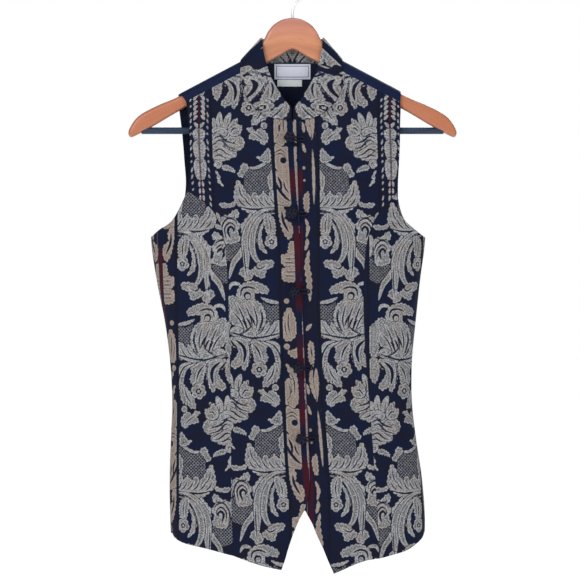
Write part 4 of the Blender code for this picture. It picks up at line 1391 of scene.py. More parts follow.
@dataclass
class CentreFront(BrocadePiece):
    """A centre front. The right one lies on top and carries the knots, the left one passes beneath."""

    left_hand: bool = False
    band_squares: float = 16.5

    def patterned(self, w: Array, q: Array) -> Weft:
        """The pattern. The left front's edge band has its own small motifs.

        Args:
            w: Squares away from the band.
            q: Squares down.

        Returns:
            What the points carry.
        """
        damask = PAPER.damask_at(w, q)
        if not self.left_hand:
            return Weft(w, q, *damask)
        bits = PAPER.weave(PAPER.under_band, w, q)
        return Weft(w, q, *(np.where(w < self.band_squares, a, b) for a, b in zip(bits, damask)))

    def places(self) -> Array:
        """The grid of places on the cloth.

        Returns:
            Rows of columns of places.
        """
        rows, columns = self.rows_fine, self.columns_fine
        if self.left_hand:
            seam, armhole, edge = LEFT_PRINCESS_SEAM, LEFT_ARMHOLE_FRONT, LEFT_FRONT_EDGE
            hem, sign, spare = LEFT_HEM_FRONT, 1, columns + columns // 2
        else:
            seam, armhole, edge = RIGHT_PRINCESS_SEAM, RIGHT_ARMHOLE_FRONT, RIGHT_FRONT_EDGE
            hem, sign, spare = RIGHT_HEM_FRONT, -1, columns // 2
        lower = FORM.on_cloth(at_shares(seam, evenly(SIDE_ROWS * rows)))
        upper = FORM.on_cloth(at_shares(armhole, evenly(ARMHOLE_ROWS * rows // 2)))
        outer = np.concatenate((lower, upper[1:]))
        opening = FORM.on_cloth(at_shares(edge, level_shares(outer)))
        shoulder = shoulder_seam(armhole[-1].x, -sign * NECK_SEAM_FRONT[0].x, SHOULDER_COLUMNS * columns)
        neck = neck_front(sign, NECK_COLUMNS * columns)
        share = evenly(spare)[1:, None]
        brink = neck[-1] * (1 - share) + np.array(edge[-1]) * share
        top = np.concatenate((shoulder, neck[1:], brink))
        sides = (outer, opening)
        if self.left_hand:
            top, sides = top[::-1], sides[::-1]
        bottom = FORM.on_cloth(at_shares(hem, evenly(len(top) - 1)))
        return coons(bottom, FORM.on_cloth(top), *sides)


def side_edge(turn: float, hem_drop: float, top_drop: float, count: int) -> Array:
    """A side seam as places on the cloth, from the hem to the arm. turn is -1 at the right side."""
    drop = hem_drop + (top_drop - hem_drop) * evenly(count)
    return np.stack((np.full(count + 1, turn), drop + ARC_EXCESS), axis=1)


@dataclass
class SideFront(BrocadePiece):
    """A panel between a princess seam and a side seam."""

    left_hand: bool = False

    def places(self) -> Array:
        """The grid of places on the cloth.

        Returns:
            Rows of columns of places.
        """
        rows, columns = SIDE_ROWS * self.rows_fine, SIDE_COLUMNS * self.columns_fine
        if self.left_hand:
            seam, hem, under = LEFT_PRINCESS_SEAM, LEFT_HEM_SIDE, LEFT_ARMHOLE_UNDER
            turn, last = 1.0, -1
        else:
            seam, hem, under = RIGHT_PRINCESS_SEAM, RIGHT_HEM_SIDE, RIGHT_ARMHOLE_UNDER
            turn, last = -1.0, 0
        side = side_edge(turn, hem[last].drop, under[last].drop, rows)
        princess = FORM.on_cloth(at_shares(seam, evenly(rows)))
        bottom = FORM.on_cloth(at_shares(hem, evenly(columns)))
        top = FORM.on_cloth(at_shares(under, evenly(columns)))
        bottom[last], top[last] = side[0], side[-1]
        left, right = (princess, side) if self.left_hand else (side, princess)
        return coons(bottom, top, left, right)


def back_neck_half(fine: int) -> Array:
    """The neck seam from the right shoulder seam to the centre back, as places on the cloth.

    Args:
        fine: How many spans go to one of the part's own.

    Returns:
        The places.
    """
    reach = SHOULDER_SEAM_DROP + ARC_EXCESS
    over_ridge = (
        (-71.5, -reach), (-71.2, -16.5), (-70.9, -11.0), (-70.5, -5.5), (-70.0, 0.0), (-69.0, 5.0),
        (-67.6, 10.0), (-66.0, 15.0),
    )
    to_middle = ((-54.0, 127.0), (-36.0, 124.5), (-18.0, 122.6), (0.0, 122.0))
    seam = [(x, FORM.ridge_drop(x) + past) for x, past in over_ridge]
    seam += [(x, drop + ARC_EXCESS) for x, drop in to_middle]
    line = fine_line(tuple(seam), fine)
    return np.stack((FORM.across(line[:, 0], line[:, 1]), line[:, 1]), axis=1)


@dataclass
class Back(ClothPiece):
    """The plain satin back, in one piece with the strips that come over the shoulders."""

    right_tip_x: float = -157.0
    left_tip_x: float = 149.0
    hand: float = -1.0

    def long_edge(
        self, armhole: tuple, tip_x: float, seam_x: float, turn: float, hem_drop: float
    ) -> Array:
        """One long edge: side seam, armhole, then over the shoulder to its seam.

        Args:
            armhole: The armhole in the front view.
            tip_x: Where the edge crosses the shoulder line.
            seam_x: Where it meets the shoulder seam.
            turn: Which side seam.
            hem_drop: Where the side seam starts.

        Returns:
            Places on the cloth.
        """
        rows = self.rows_fine
        side = side_edge(turn, hem_drop, armhole[0].drop, SIDE_ROWS * rows)
        round_arm = FORM.on_cloth(at_shares(armhole, evenly(ARMHOLE_ROWS * rows)))
        start = armhole[-1].drop + ARC_EXCESS
        end = FORM.ridge_drop(seam_x) - SHOULDER_SEAM_DROP - ARC_EXCESS
        share = evenly(RIDGE_ROWS * rows)[1:]
        on_ridge = (start - FORM.ridge_drop(tip_x)) / (start - end)
        x = np.interp(share, (0.0, on_ridge, 1.0), (armhole[-1].x, tip_x, seam_x))
        height = start + (end - start) * share
        over = np.stack((FORM.across(x, height), height), axis=1)
        return np.concatenate((side, round_arm[1:], over))

    def places(self) -> Array:
        """The grid of places on the cloth.

        Returns:
            Rows of columns of places.
        """
        fine = self.columns_fine
        neck = with_mirror(back_neck_half(fine))
        seams = (RIGHT_ARMHOLE_FRONT[-1].x, LEFT_ARMHOLE_FRONT[-1].x)
        shoulders = []
        for outer_x, sign in zip(seams, (-1, 1)):
            x = outer_x + (sign * -NECK_SEAM_FRONT[0].x - outer_x) * evenly(SHOULDER_COLUMNS * fine)
            height = FORM.ridge_drop(x) - SHOULDER_SEAM_DROP - ARC_EXCESS
            shoulders.append(np.stack((FORM.across(x, height), height), axis=1))
        top = np.concatenate((shoulders[0][:-1], neck, shoulders[1][::-1][1:]))
        left = self.long_edge(RIGHT_ARMHOLE_BACK, self.right_tip_x, seams[0], -1.0, BACK_HEM[0].drop)
        right = self.long_edge(LEFT_ARMHOLE_BACK, self.left_tip_x, seams[1], 1.0, BACK_HEM[-1].drop)
        bottom = FORM.on_cloth(at_shares(BACK_HEM, evenly(len(top) - 1)))
        bottom[0], bottom[-1] = left[0], right[0]
        top[0], top[-1] = left[-1], right[-1]
        return coons(bottom, top, left, right)


@dataclass
class Collar(BrocadePiece):
    """The stand collar, which leans in over the hanger's head.

    Its pattern leaves the ground bare across the right and the left front: bare_at and bare_half are
    the middle and half width of each such stretch in squares down, and it goes up and down a little.
    """

    height_rows: int = 34
    crowding: float = 0.8
    bare_at: tuple = (57.0, 69.0)
    bare_half: tuple = (9.5, 3.5)
    bare_swing: float = 2.0
    bare_turns: float = 0.4
    front_squares: float = 88.0
    hand: float = -1.0

    def edges(self) -> tuple:
        """The neck seam and the free edge, from the right end round to the left one.

        Returns:
            Both lines, in metres.
        """
        front, fine = NECK_COLUMNS * self.columns_fine, self.columns_fine
        right = FORM.on_cloth(neck_front(-1, front)[::-1])
        left = FORM.on_cloth(neck_front(1, front))
        neck = with_mirror(back_neck_half(fine))[1:-1]
        stretches = ((right, Face.FRONT), (neck, Face.BACK), (left, Face.UNDER))
        seam = np.concatenate([FORM.point(*line.T, face) for line, face in stretches])
        rise = at_shares(COLLAR_FRONT_EDGE, evenly(front))[::-1]
        round_back = fine_line(COLLAR_BACK_EDGE, fine)
        free = with_mirror(np.concatenate((rise[:-1], round_back)))
        left_end = slice(len(free) - front - 1, None)
        free[left_end, 1] += FORM.tuck(free[left_end, 0], free[left_end, 2])
        free[:, 2] *= -1.0
        return seam, free * MM

    def places(self) -> Array:
        """The grid of the collar's own points, which stand for places on the cloth.

        Returns:
            Rows of columns of points, in metres.
        """
        seam, free = self.edges()
        share = evenly(self.height_rows)[:, None, None]
        seat = seam[None] * (1 - share) + free[None] * share
        return seat + grid_normals(seat) * self.hand * CLOTH * MM

    def points_of(self, places: Array) -> Array:
        """The outer face's points, which are its places."""
        return places

    def inside(self, inner: Array, weft: Weft, turned: bool) -> Object:
        """The layer that faces the wearer: the same brocade, which shows at the back of the neck."""
        return spread(self.node, inner, weft, 0, turned)

    def weft_of(self, places: Array, points: Array) -> Weft:
        """Lays the pattern on the collar, upright at the front and running round to the back.

        Args:
            places: Not needed here.
            points: The outer face's points.

        Returns:
            What the points carry.
        """
        middle = points[points.shape[0] // 2]
        steps = np.linalg.norm(np.diff(middle, axis=0), axis=-1) / MM
        along = np.concatenate(([0.0], np.cumsum(steps)))
        side = np.minimum(along, along[-1] - along)
        w = np.broadcast_to(self.start_squares + side / SQUARE * self.crowding, points.shape[:2])
        q = (-points[..., 2] / MM - PAPER_TOP_DROP) / SQUARE - self.sunk_squares
        woven = self.patterned(w, q)
        right = points[..., 0] < 0
        level = np.where(right, *self.bare_at) + self.bare_swing * np.sin(w * self.bare_turns)
        bare = np.abs(q - level) - np.where(right, *self.bare_half)
        bare = np.where(w < self.front_squares, bare, FAR)
        return Weft(w, q, np.minimum(woven.solid, bare), np.minimum(woven.net, bare))


class Shade:
    """A number from a node, on which plain arithmetic builds further nodes."""

    def __init__(self, recipe: "Recipe", socket: bpy.types.NodeSocket) -> None:
        """Wraps one output socket."""
        self.recipe = recipe
        self.socket = socket

    def math(self, operation: str, *others: "Shade | float") -> "Shade":
        """A Math node on this number and others."""
        values = {i: other for i, other in enumerate((self, *others))}
        return self.recipe.node("ShaderNodeMath", {"operation": operation}, values)

    def __add__(self, other: "Shade | float") -> "Shade":
        """The sum."""
        return self.math("ADD", other)

    def __sub__(self, other: "Shade | float") -> "Shade":
        """The difference."""
        return self.math("SUBTRACT", other)

    def __mul__(self, other: "Shade | float") -> "Shade":
        """The product."""
        return self.math("MULTIPLY", other)

    def __truediv__(self, other: "Shade | float") -> "Shade":
        """The quotient."""
        return self.math("DIVIDE", other)

    def __rsub__(self, other: float) -> "Shade":
        """The difference from a plain number."""
        return self.recipe.node("ShaderNodeMath", {"operation": "SUBTRACT"}, {0: other, 1: self})

    __radd__ = __add__
    __rmul__ = __mul__

    def wave(self, length: float) -> "Shade":
        """A wave from -1 to 1 along this number, of that length."""
        return (self * (2 * math.pi / length)).math("SINE")

    def above(self, edge: float, soft: float) -> "Shade":
        """0 below an edge and 1 above it, with a soft step between.

        Args:
            edge: Where the step's middle lies.
            soft: How wide it is.

        Returns:
            The mask.
        """
        return self.step(1 / soft, 0.5 - edge / soft)

    def below(self, edge: float, soft: float) -> "Shade":
        """1 below an edge and 0 above it, with a soft step between."""
        return self.step(-1 / soft, 0.5 + edge / soft)

    def step(self, slope: float, start: float) -> "Shade":
        """This number by a slope and a start, held between 0 and 1."""
        settings = {"operation": "MULTIPLY_ADD", "use_clamp": True}
        return self.recipe.node("ShaderNodeMath", settings, {0: self, 1: slope, 2: start})


class Recipe:
    """The node tree of one finish, built round its Principled shader."""

    def __init__(self, name: str) -> None:
        """Starts a material of that name.

        Args:
            name: The material's name.
        """
        self.material = bpy.data.materials.new(name)
        self.material.use_nodes = True
        self.tree = self.material.node_tree
        self.shader = self.tree.nodes["Principled BSDF"]

    def node(self, kind: str, settings: dict, inputs: dict, output: int | str = 0) -> Shade:
        """Any node.

        Args:
            kind: The node's type.
            settings: Its properties, which are set first.
            inputs: Values or links of its sockets, by index or name.
            output: Which of its outputs is wanted.

        Returns:
            That output.
        """
        made = self.tree.nodes.new(kind)
        for key, value in settings.items():
            setattr(made, key, value)
        for key, value in inputs.items():
            if isinstance(value, Shade):
                self.tree.links.new(value.socket, made.inputs[key])
            else:
                made.inputs[key].default_value = value
        return Shade(self, made.outputs[output])

    def carried(self, name: str) -> Shade:
        """A number that the mesh carries."""
        return self.node("ShaderNodeAttribute", {"attribute_name": name}, {}, "Fac")

    def object_place(self) -> Shade:
        """The place in the row's frame."""
        return self.node("ShaderNodeTexCoord", {}, {}, "Object")

    def paper_place(self) -> Shade:
        """The place on the cloth."""
        return self.node("ShaderNodeUVMap", {"uv_map": "paper"}, {}, "UV")

    def axis(self, place: Shade, name: str) -> Shade:
        """One coordinate of a place."""
        return self.node("ShaderNodeSeparateXYZ", {}, {0: place}, name)

    def scaled(self, place: Shade, scale: tuple) -> Shade:
        """A place, scaled."""
        return self.node("ShaderNodeMapping", {"vector_type": "POINT"}, {"Vector": place, "Scale": scale})

    def noise(self, place: Shade, scale: float, detail: float = 2.0, rough: float = 0.5) -> Shade:
        """Soft noise from 0 to 1."""
        inputs = {"Vector": place, "Scale": scale, "Detail": detail, "Roughness": rough}
        return self.node("ShaderNodeTexNoise", {"noise_dimensions": "3D"}, inputs)

    def mix(self, share: Shade | float, first: Shade | tuple, second: Shade | tuple) -> Shade:
        """A colour between two.

        Args:
            share: How much of the second there is.
            first: One colour.
            second: The other.

        Returns:
            The mixed colour.
        """
        sockets = {0: share}
        for index, colour in ((6, first), (7, second)):
            sockets[index] = colour if isinstance(colour, Shade) else (*colour, 1.0)
        return self.node("ShaderNodeMix", {"data_type": "RGBA"}, sockets, 2)

    def bump(self, height: Shade, depth: float) -> Shade:
        """A bumped normal, with its depth in metres."""
        return self.node("ShaderNodeBump", {}, {"Height": height, "Distance": depth, "Strength": 1.0})

    def finish(self, linked: dict, plain: dict) -> Material:
        """Joins what varies to the shader and sets what doesn't.

        Args:
            linked: Links of the shader's sockets.
            plain: Values of its other sockets.

        Returns:
            The material.
        """
        for name, value in linked.items():
            self.tree.links.new(value.socket, self.shader.inputs[name])
        for name, value in plain.items():
            self.shader.inputs[name].default_value = value
        return self.material


@dataclass(frozen=True)
class BrocadeFinish:
    """Woven damask in silver-beige on a navy ground, with a narrow tan and burgundy band."""

    ground: tuple = (0.0042, 0.0080, 0.0290)
    ground_warm: tuple = (0.0066, 0.0074, 0.0200)
    silver: tuple = (0.246, 0.246, 0.254)
    silver_light: tuple = (0.640, 0.640, 0.655)
    silver_dim: tuple = (0.105, 0.104, 0.110)
    tan: tuple = (0.300, 0.205, 0.140)
    burgundy: tuple = (0.044, 0.0055, 0.012)
    pink: tuple = (0.180, 0.110, 0.150)
    stripe: tuple = (0.0045, 0.0055, 0.0135)
    # The dark of the veins and flecks, also laid as painted shade between the threads
    vein: tuple = (0.006, 0.007, 0.011)
    warp_pitch: float = 0.55
    weft_pitch: float = 0.62
    net_pitch: float = 1.9

    def make(self) -> Material:
        """Builds the material.

        Returns:
            The material.
        """
        recipe = Recipe("brocade_weave")
        paper = recipe.paper_place()
        squares, down = (recipe.axis(paper, name) * UV_SQUARES for name in "XY")
        folded = squares.math("PINGPONG", HALF_REPEAT)
        solid, net = (recipe.carried(name) for name in ("solid", "net"))
        in_squares = recipe.scaled(paper, (UV_SQUARES, UV_SQUARES, 1.0))
        grain = recipe.noise(in_squares, 0.9, 3.0, 0.65)
        jag = (grain - 0.5) * 0.9
        in_motif = (solid + jag).above(0.0, 0.5)
        in_net = (net + jag * 0.4).above(0.0, 0.5) * (1.0 - in_motif)
        mesh = self.netting(squares, down)
        rim = (solid + jag).below(1.3, 0.8) * in_motif
        patches = recipe.noise(in_squares, 0.05, 2.0)
        cloud = recipe.noise(in_squares, 0.22, 3.0)
        ground = recipe.mix(patches.above(0.5, 0.25), self.ground, self.ground_warm)
        silver = recipe.mix(cloud.above(0.46, 0.3), self.silver_dim, self.silver)
        silver = recipe.mix(grain.above(0.56, 0.08) * 0.6, silver, self.silver_light)
        silver = recipe.mix(rim * 0.12, silver, self.silver_light)
        inner = (solid + jag * 1.2 - 2.3).math("ABSOLUTE").below(0.32, 0.4) * cloud.above(0.5, 0.12)
        curls = recipe.noise(in_squares, 0.13, 1.5).math("PINGPONG", 0.045)
        veins = curls.below(0.007, 0.008) * solid.above(1.0, 0.8)
        inner = inner.math("MAXIMUM", veins)
        fleck = grain.below(0.40, 0.08) * (1.0 - rim)
        silver = recipe.mix(inner.math("MAXIMUM", fleck) * 0.78, silver, self.vein)
        in_band = folded.below(16.0, 0.5) * folded.above(3.2, 0.5)
        warmth = (in_band * 0.5).math("MAXIMUM", patches.above(0.54, 0.1) * 0.14)
        tanned = recipe.mix(warmth, silver, self.tan)
        colour = recipe.mix(in_net * mesh * 0.62, ground, silver)
        colour = recipe.mix(in_motif, colour, tanned)
        colour = self.striped(recipe, colour, squares, down)
        thread = self.threads(squares, down)
        raised = in_motif * 0.8 + in_net * mesh * 0.35
        height = raised + thread * 0.22 + grain * 0.25
        # Painted shade: the hollows between the weave's threads are darkened towards the vein colour
        colour = recipe.mix((1.0 - thread) * 0.22, colour, self.vein)
        rough = 0.66 - in_motif * 0.10
        return recipe.finish(
            {"Base Color": colour, "Roughness": rough, "Normal": recipe.bump(height, 0.0004)},
            {"Sheen Weight": 0.03, "Sheen Roughness": 0.4, "Specular IOR Level": 0.06},
        )

    def netting(self, squares: Shade, down: Shade) -> Shade:
        """The fine net of the vases: threads that cross aslant.

        Args:
            squares: Squares across.
            down: Squares down.

        Returns:
            1 on the threads and 0 between them.
        """
        first = ((squares + down) * self.net_pitch).math("SINE")
        second = ((squares - down) * self.net_pitch).math("SINE")
        return first.math("MAXIMUM", second).above(0.5, 0.8)

    def threads(self, squares: Shade, down: Shade) -> Shade:
        """The weave's own threads, a thread to each half millimetre."""
        warp, weft = squares.wave(self.warp_pitch / SQUARE), down.wave(self.weft_pitch / SQUARE)
        return warp * weft * 0.5 + 0.5

    def striped(self, recipe: Recipe, colour: Shade, squares: Shade, down: Shade) -> Shade:
        """Lays the long stripes over the pattern.

        Args:
            recipe: The finish's nodes.
            colour: The pattern's colour.
            squares: Squares across.
            down: Squares down.

        Returns:
            The colour with the stripes on it.
        """
        wobble = recipe.noise(recipe.scaled(recipe.paper_place(), (30.0, 160.0, 1.0)), 1.0, 2.0)
        side = squares.math("PINGPONG", HALF_REPEAT) + (wobble - 0.5) * 0.9
        dark = side.above(16.5, 0.6) * side.below(19.6, 0.6)
        darker = side.above(78.9, 0.5) * side.below(81.1, 0.5)
        colour = recipe.mix(dark.math("MAXIMUM", darker) * 0.8, colour, self.stripe)
        middle = side.below(2.9, 0.5) * squares.above(-2.9, 0.5)
        fading = recipe.noise(recipe.scaled(recipe.paper_place(), (0.0, 1.0, 0.0)), 2.6, 1.0)
        colour = recipe.mix(middle * 0.94, colour, self.ground)
        below = down.above(157.0, 6.0)
        colour = recipe.mix(middle * below * fading.above(0.47, 0.16), colour, self.burgundy)
        colour = recipe.mix(side.above(91.0, 0.5) * 0.7, colour, self.burgundy)
        pink = squares.above(-4.2, 0.4) * squares.below(-3.4, 0.4)
        return recipe.mix(pink * below * 0.6, colour, self.pink)


@dataclass(frozen=True)
class SatinFinish:
    """Navy satin, fine warp threads, a soft broken sheen, and painted glints on its slubs."""

    name: str
    lit: tuple
    shade: tuple
    gloss: float

    def make(self) -> Material:
        """Builds the material.

        Returns:
            The material.
        """
        recipe = Recipe(self.name)
        place = recipe.object_place()
        slubs = recipe.noise(recipe.scaled(place, (900.0, 900.0, 60.0)), 1.0, 2.0)
        cloud = recipe.noise(place, 16.0, 3.0)
        colour = recipe.mix(cloud.above(0.5, 0.5), self.shade, self.lit)
        # Painted glints: the slubs are paler than the lit copy; their gloss and bump are real
        colour = recipe.mix(slubs.above(0.62, 0.3) * 0.22, colour, tuple(1.6 * c for c in self.lit))
        warp, weft = recipe.axis(place, "X").wave(0.0005), recipe.axis(place, "Z").wave(0.0009)
        height = warp * weft * 0.25 + slubs * 0.5
        rough = 0.52 - slubs * 0.14 * self.gloss
        return recipe.finish(
            {"Base Color": colour, "Roughness": rough, "Normal": recipe.bump(height, 0.00012)},
            {
                "Sheen Weight": 0.08,
                "Sheen Roughness": 0.35,
                "Sheen Tint": (0.55, 0.65, 1.0, 1.0),
                "Anisotropic": 0.4,
                "Specular IOR Level": 0.10,
            },
        )


@dataclass(frozen=True)
class CordFinish:
    """Dark navy satin cord with its twist, and painted highlights on the twist's crests."""

    colour: tuple = (0.0026, 0.0036, 0.0110)
    # Painted highlight: the paler navy on the twist's crests, and also on fluff at random
    light: tuple = (0.0105, 0.0140, 0.0340)

    def make(self) -> Material:
        """Builds the material.

        Returns:
            The material.
        """
        recipe = Recipe("knot_cord_twist")
        place = recipe.object_place()
        x, y, z = (recipe.axis(place, name) for name in "XYZ")
        twist = (x * 0.8 + y * 0.5 + z).wave(0.0011)
        fluff = recipe.noise(place, 1400.0, 2.0)
        # Painted highlights on the raised crests of the twist, with fluff that is paler at random
        colour = recipe.mix((twist * 0.35 + fluff).above(0.62, 0.5), self.colour, self.light)
        height = twist * 0.4 + fluff * 0.4
        rough = 0.5 - fluff * 0.12
        return recipe.finish(
            {"Base Color": colour, "Roughness": rough, "Normal": recipe.bump(height, 0.00018)},
            {"Sheen Weight": 0.03, "Sheen Roughness": 0.35, "Specular IOR Level": 0.16},
        )


@dataclass(frozen=True)
class RibbonFinish:
    """Pale woven ribbon, with a plain border line where it has one."""

    name: str
    cloth: tuple
    middle_x: float
    middle_drop: float
    half_width: float
    half_height: float
    bordered: bool
    border: tuple = (0.035, 0.045, 0.16)

    def make(self) -> Material:
        """Builds the material.

        Returns:
            The material.
        """
        recipe = Recipe(self.name)
        place = recipe.object_place()
        x = (recipe.axis(place, "X") / MM - self.middle_x).math("ABSOLUTE")
        z = (recipe.axis(place, "Z") / MM + self.middle_drop).math("ABSOLUTE")
        ribs, warp = recipe.axis(place, "Z").wave(0.0008), recipe.axis(place, "X").wave(0.0006)
        wear = recipe.noise(place, 220.0, 3.0)
        dim = tuple(0.78 * c for c in self.cloth)
        colour = recipe.mix(wear.above(0.5, 0.5) * 0.5, self.cloth, dim)
        colour = recipe.mix((ribs * 0.5 + 0.5) * 0.16, colour, dim)
        if self.bordered:
            inset = (x - self.half_width).math("MAXIMUM", z - self.half_height)
            frame_line = inset.above(-3.6, 0.2) * inset.below(-2.6, 0.2)
            colour = recipe.mix(frame_line * 0.9, colour, self.border)
            fold = inset.above(-0.7, 0.3)
            colour = recipe.mix(fold * 0.45, colour, self.border)
        height = ribs * 0.3 + warp * 0.2 + wear * 0.3
        return recipe.finish(
            {"Base Color": colour, "Normal": recipe.bump(height, 0.00015)},
            {"Roughness": 0.6, "Sheen Weight": 0.2, "Sheen Roughness": 0.4},
        )


@dataclass(frozen=True)
class WoodFinish:
    """Lacquered orange-brown wood, grain along the arms, painted shade on its rounded edges."""

    light: tuple = (0.560, 0.245, 0.125)
    mid: tuple = (0.440, 0.165, 0.082)
    dark: tuple = (0.250, 0.082, 0.040)
    deep: tuple = (0.360, 0.100, 0.040)
    rosy: tuple = (0.400, 0.145, 0.120)
    # Painted shade: the near-black brown laid along the board's rounded edges
    edge: tuple = (0.060, 0.018, 0.012)

    def make(self) -> Material:
        """Builds the material.

        Returns:
            The material.
        """
        recipe = Recipe("hanger_wood_lacquer")
        place = recipe.object_place()
        x, y, z = (recipe.axis(place, name) for name in "XYZ")
        level = z + (x * x + 0.0012).math("SQRT") * 0.53
        scaled = {0: x * 6.0, 1: y * 60.0, 2: level * 120.0}
        grain_place = recipe.node("ShaderNodeCombineXYZ", {}, scaled)
        grain = recipe.noise(grain_place, 1.0, 4.0, 0.6)
        scaled = {0: x * 40.0, 1: y * 500.0, 2: level * 900.0}
        fibre_place = recipe.node("ShaderNodeCombineXYZ", {}, scaled)
        fibre = recipe.noise(fibre_place, 1.0, 2.0)
        colour = recipe.mix(grain.above(0.5, 0.35), self.mid, self.light)
        colour = recipe.mix(fibre.above(0.64, 0.2) * 0.35, colour, self.dark)
        blotch = recipe.noise(place, 14.0, 2.0)
        colour = recipe.mix(blotch.above(0.58, 0.3) * 0.25, colour, self.dark)
        colour = recipe.mix(x.math("ABSOLUTE").above(0.11, 0.08) * 0.7, colour, self.deep)
        colour = recipe.mix(z.above(-0.082, 0.03) * 0.7, colour, self.rosy)
        # Painted shade: the middle of the rounded edge, where the rim attribute is high, goes nearly
        # black-brown
        rim = recipe.carried("rim")
        colour = recipe.mix(rim.above(0.5, 0.5) * 0.9, colour, self.edge)
        height = grain * 0.4 + fibre * 0.4
        rough = 0.34 + fibre * 0.14
        return recipe.finish(
            {"Base Color": colour, "Roughness": rough, "Normal": recipe.bump(height, 0.00012)},
            {"Coat Weight": 0.16, "Coat Roughness": 0.22},
        )


@dataclass(frozen=True)
class PaintFinish:
    """Blue-grey paint on the bar, worn thin in places."""

    paint: tuple = (0.007, 0.019, 0.048)
    worn: tuple = (0.028, 0.050, 0.095)

    def make(self) -> Material:
        """Builds the material.

        Returns:
            The material.
        """
        recipe = Recipe("bar_paint")
        place = recipe.object_place()
        streak = recipe.noise(recipe.scaled(place, (12.0, 220.0, 220.0)), 1.0, 3.0)
        speck = recipe.noise(place, 420.0, 2.0)
        colour = recipe.mix(streak.above(0.56, 0.3) * 0.7, self.paint, self.worn)
        colour = recipe.mix(speck.above(0.70, 0.1) * 0.5, colour, self.worn)
        height = streak * 0.4 + speck * 0.3
        rough = 0.34 + speck * 0.2
        return recipe.finish(
            {"Base Color": colour, "Roughness": rough, "Normal": recipe.bump(height, 0.0001)},
            {"Coat Weight": 0.06, "Coat Roughness": 0.25, "Specular IOR Level": 0.25},
        )


@dataclass(frozen=True)
class SteelFinish:
    """Bright drawn steel wire."""

    colour: tuple = (0.62, 0.62, 0.64)
    dull: tuple = (0.38, 0.38, 0.40)

    def make(self) -> Material:
        """Builds the material.

        Returns:
            The material.
        """
        recipe = Recipe("hook_steel")
        place = recipe.object_place()
        drawn = recipe.noise(recipe.scaled(place, (900.0, 900.0, 120.0)), 1.0, 2.0)
        tarnish = recipe.noise(place, 90.0, 3.0)
        colour = recipe.mix(tarnish.above(0.6, 0.3) * 0.6, self.colour, self.dull)
        rough = 0.22 + drawn * 0.2
        return recipe.finish(
            {"Base Color": colour, "Roughness": rough, "Normal": recipe.bump(drawn, 0.00005)},
            {"Metallic": 1.0},
        )


def dress(mesh: bpy.types.Mesh, finish: Material) -> None:
    """Gives a mesh one finish in place of any other."""
    mesh.materials.clear()
    mesh.materials.append(finish)


def closed_cord(name: str, path: Array, radius: float) -> Object:
    """A round cord along a line of points that closes on itself, as a mesh.

    Args:
        name: Its name.
        path: The points, in metres.
        radius: Its radius in metres.

    Returns:
        The mesh object.
    """
    curve = bpy.data.curves.new(name, "CURVE")
    curve.dimensions = "3D"
    line = curve.splines.new("POLY")
    line.points.add(len(path) - 1)
    line.points.foreach_set("co", np.column_stack((path, np.ones(len(path)))).ravel())
    line.use_cyclic_u = True
    line.use_smooth = True
    curve.bevel_depth = radius
    curve.bevel_resolution = 2
    cord = bpy.data.objects.new(name, curve)
    bpy.context.scene.collection.objects.link(cord)
    choose(cord)
    bpy.ops.object.convert(target="MESH")
    cord = bpy.context.object
    cord.name = name
    return cord


def outward_at(x: float, drop: float, face: Face) -> tuple:
    """A point on the cloth and the way out from it.

    Args:
        x: Its place in the front view.
        drop: How low it is.
        face: Which sheet.

    Returns:
        The point in metres, and the outward unit vector.
    """
    near = np.array(((x, drop), (x + 0.4, drop), (x, drop + 0.4)))
    places = FORM.on_cloth(near)
    point, aside, below = FORM.point(places[:, 0], places[:, 1], face)
    normal = np.cross(aside - point, point - below)
    return point, normal / np.linalg.norm(normal)


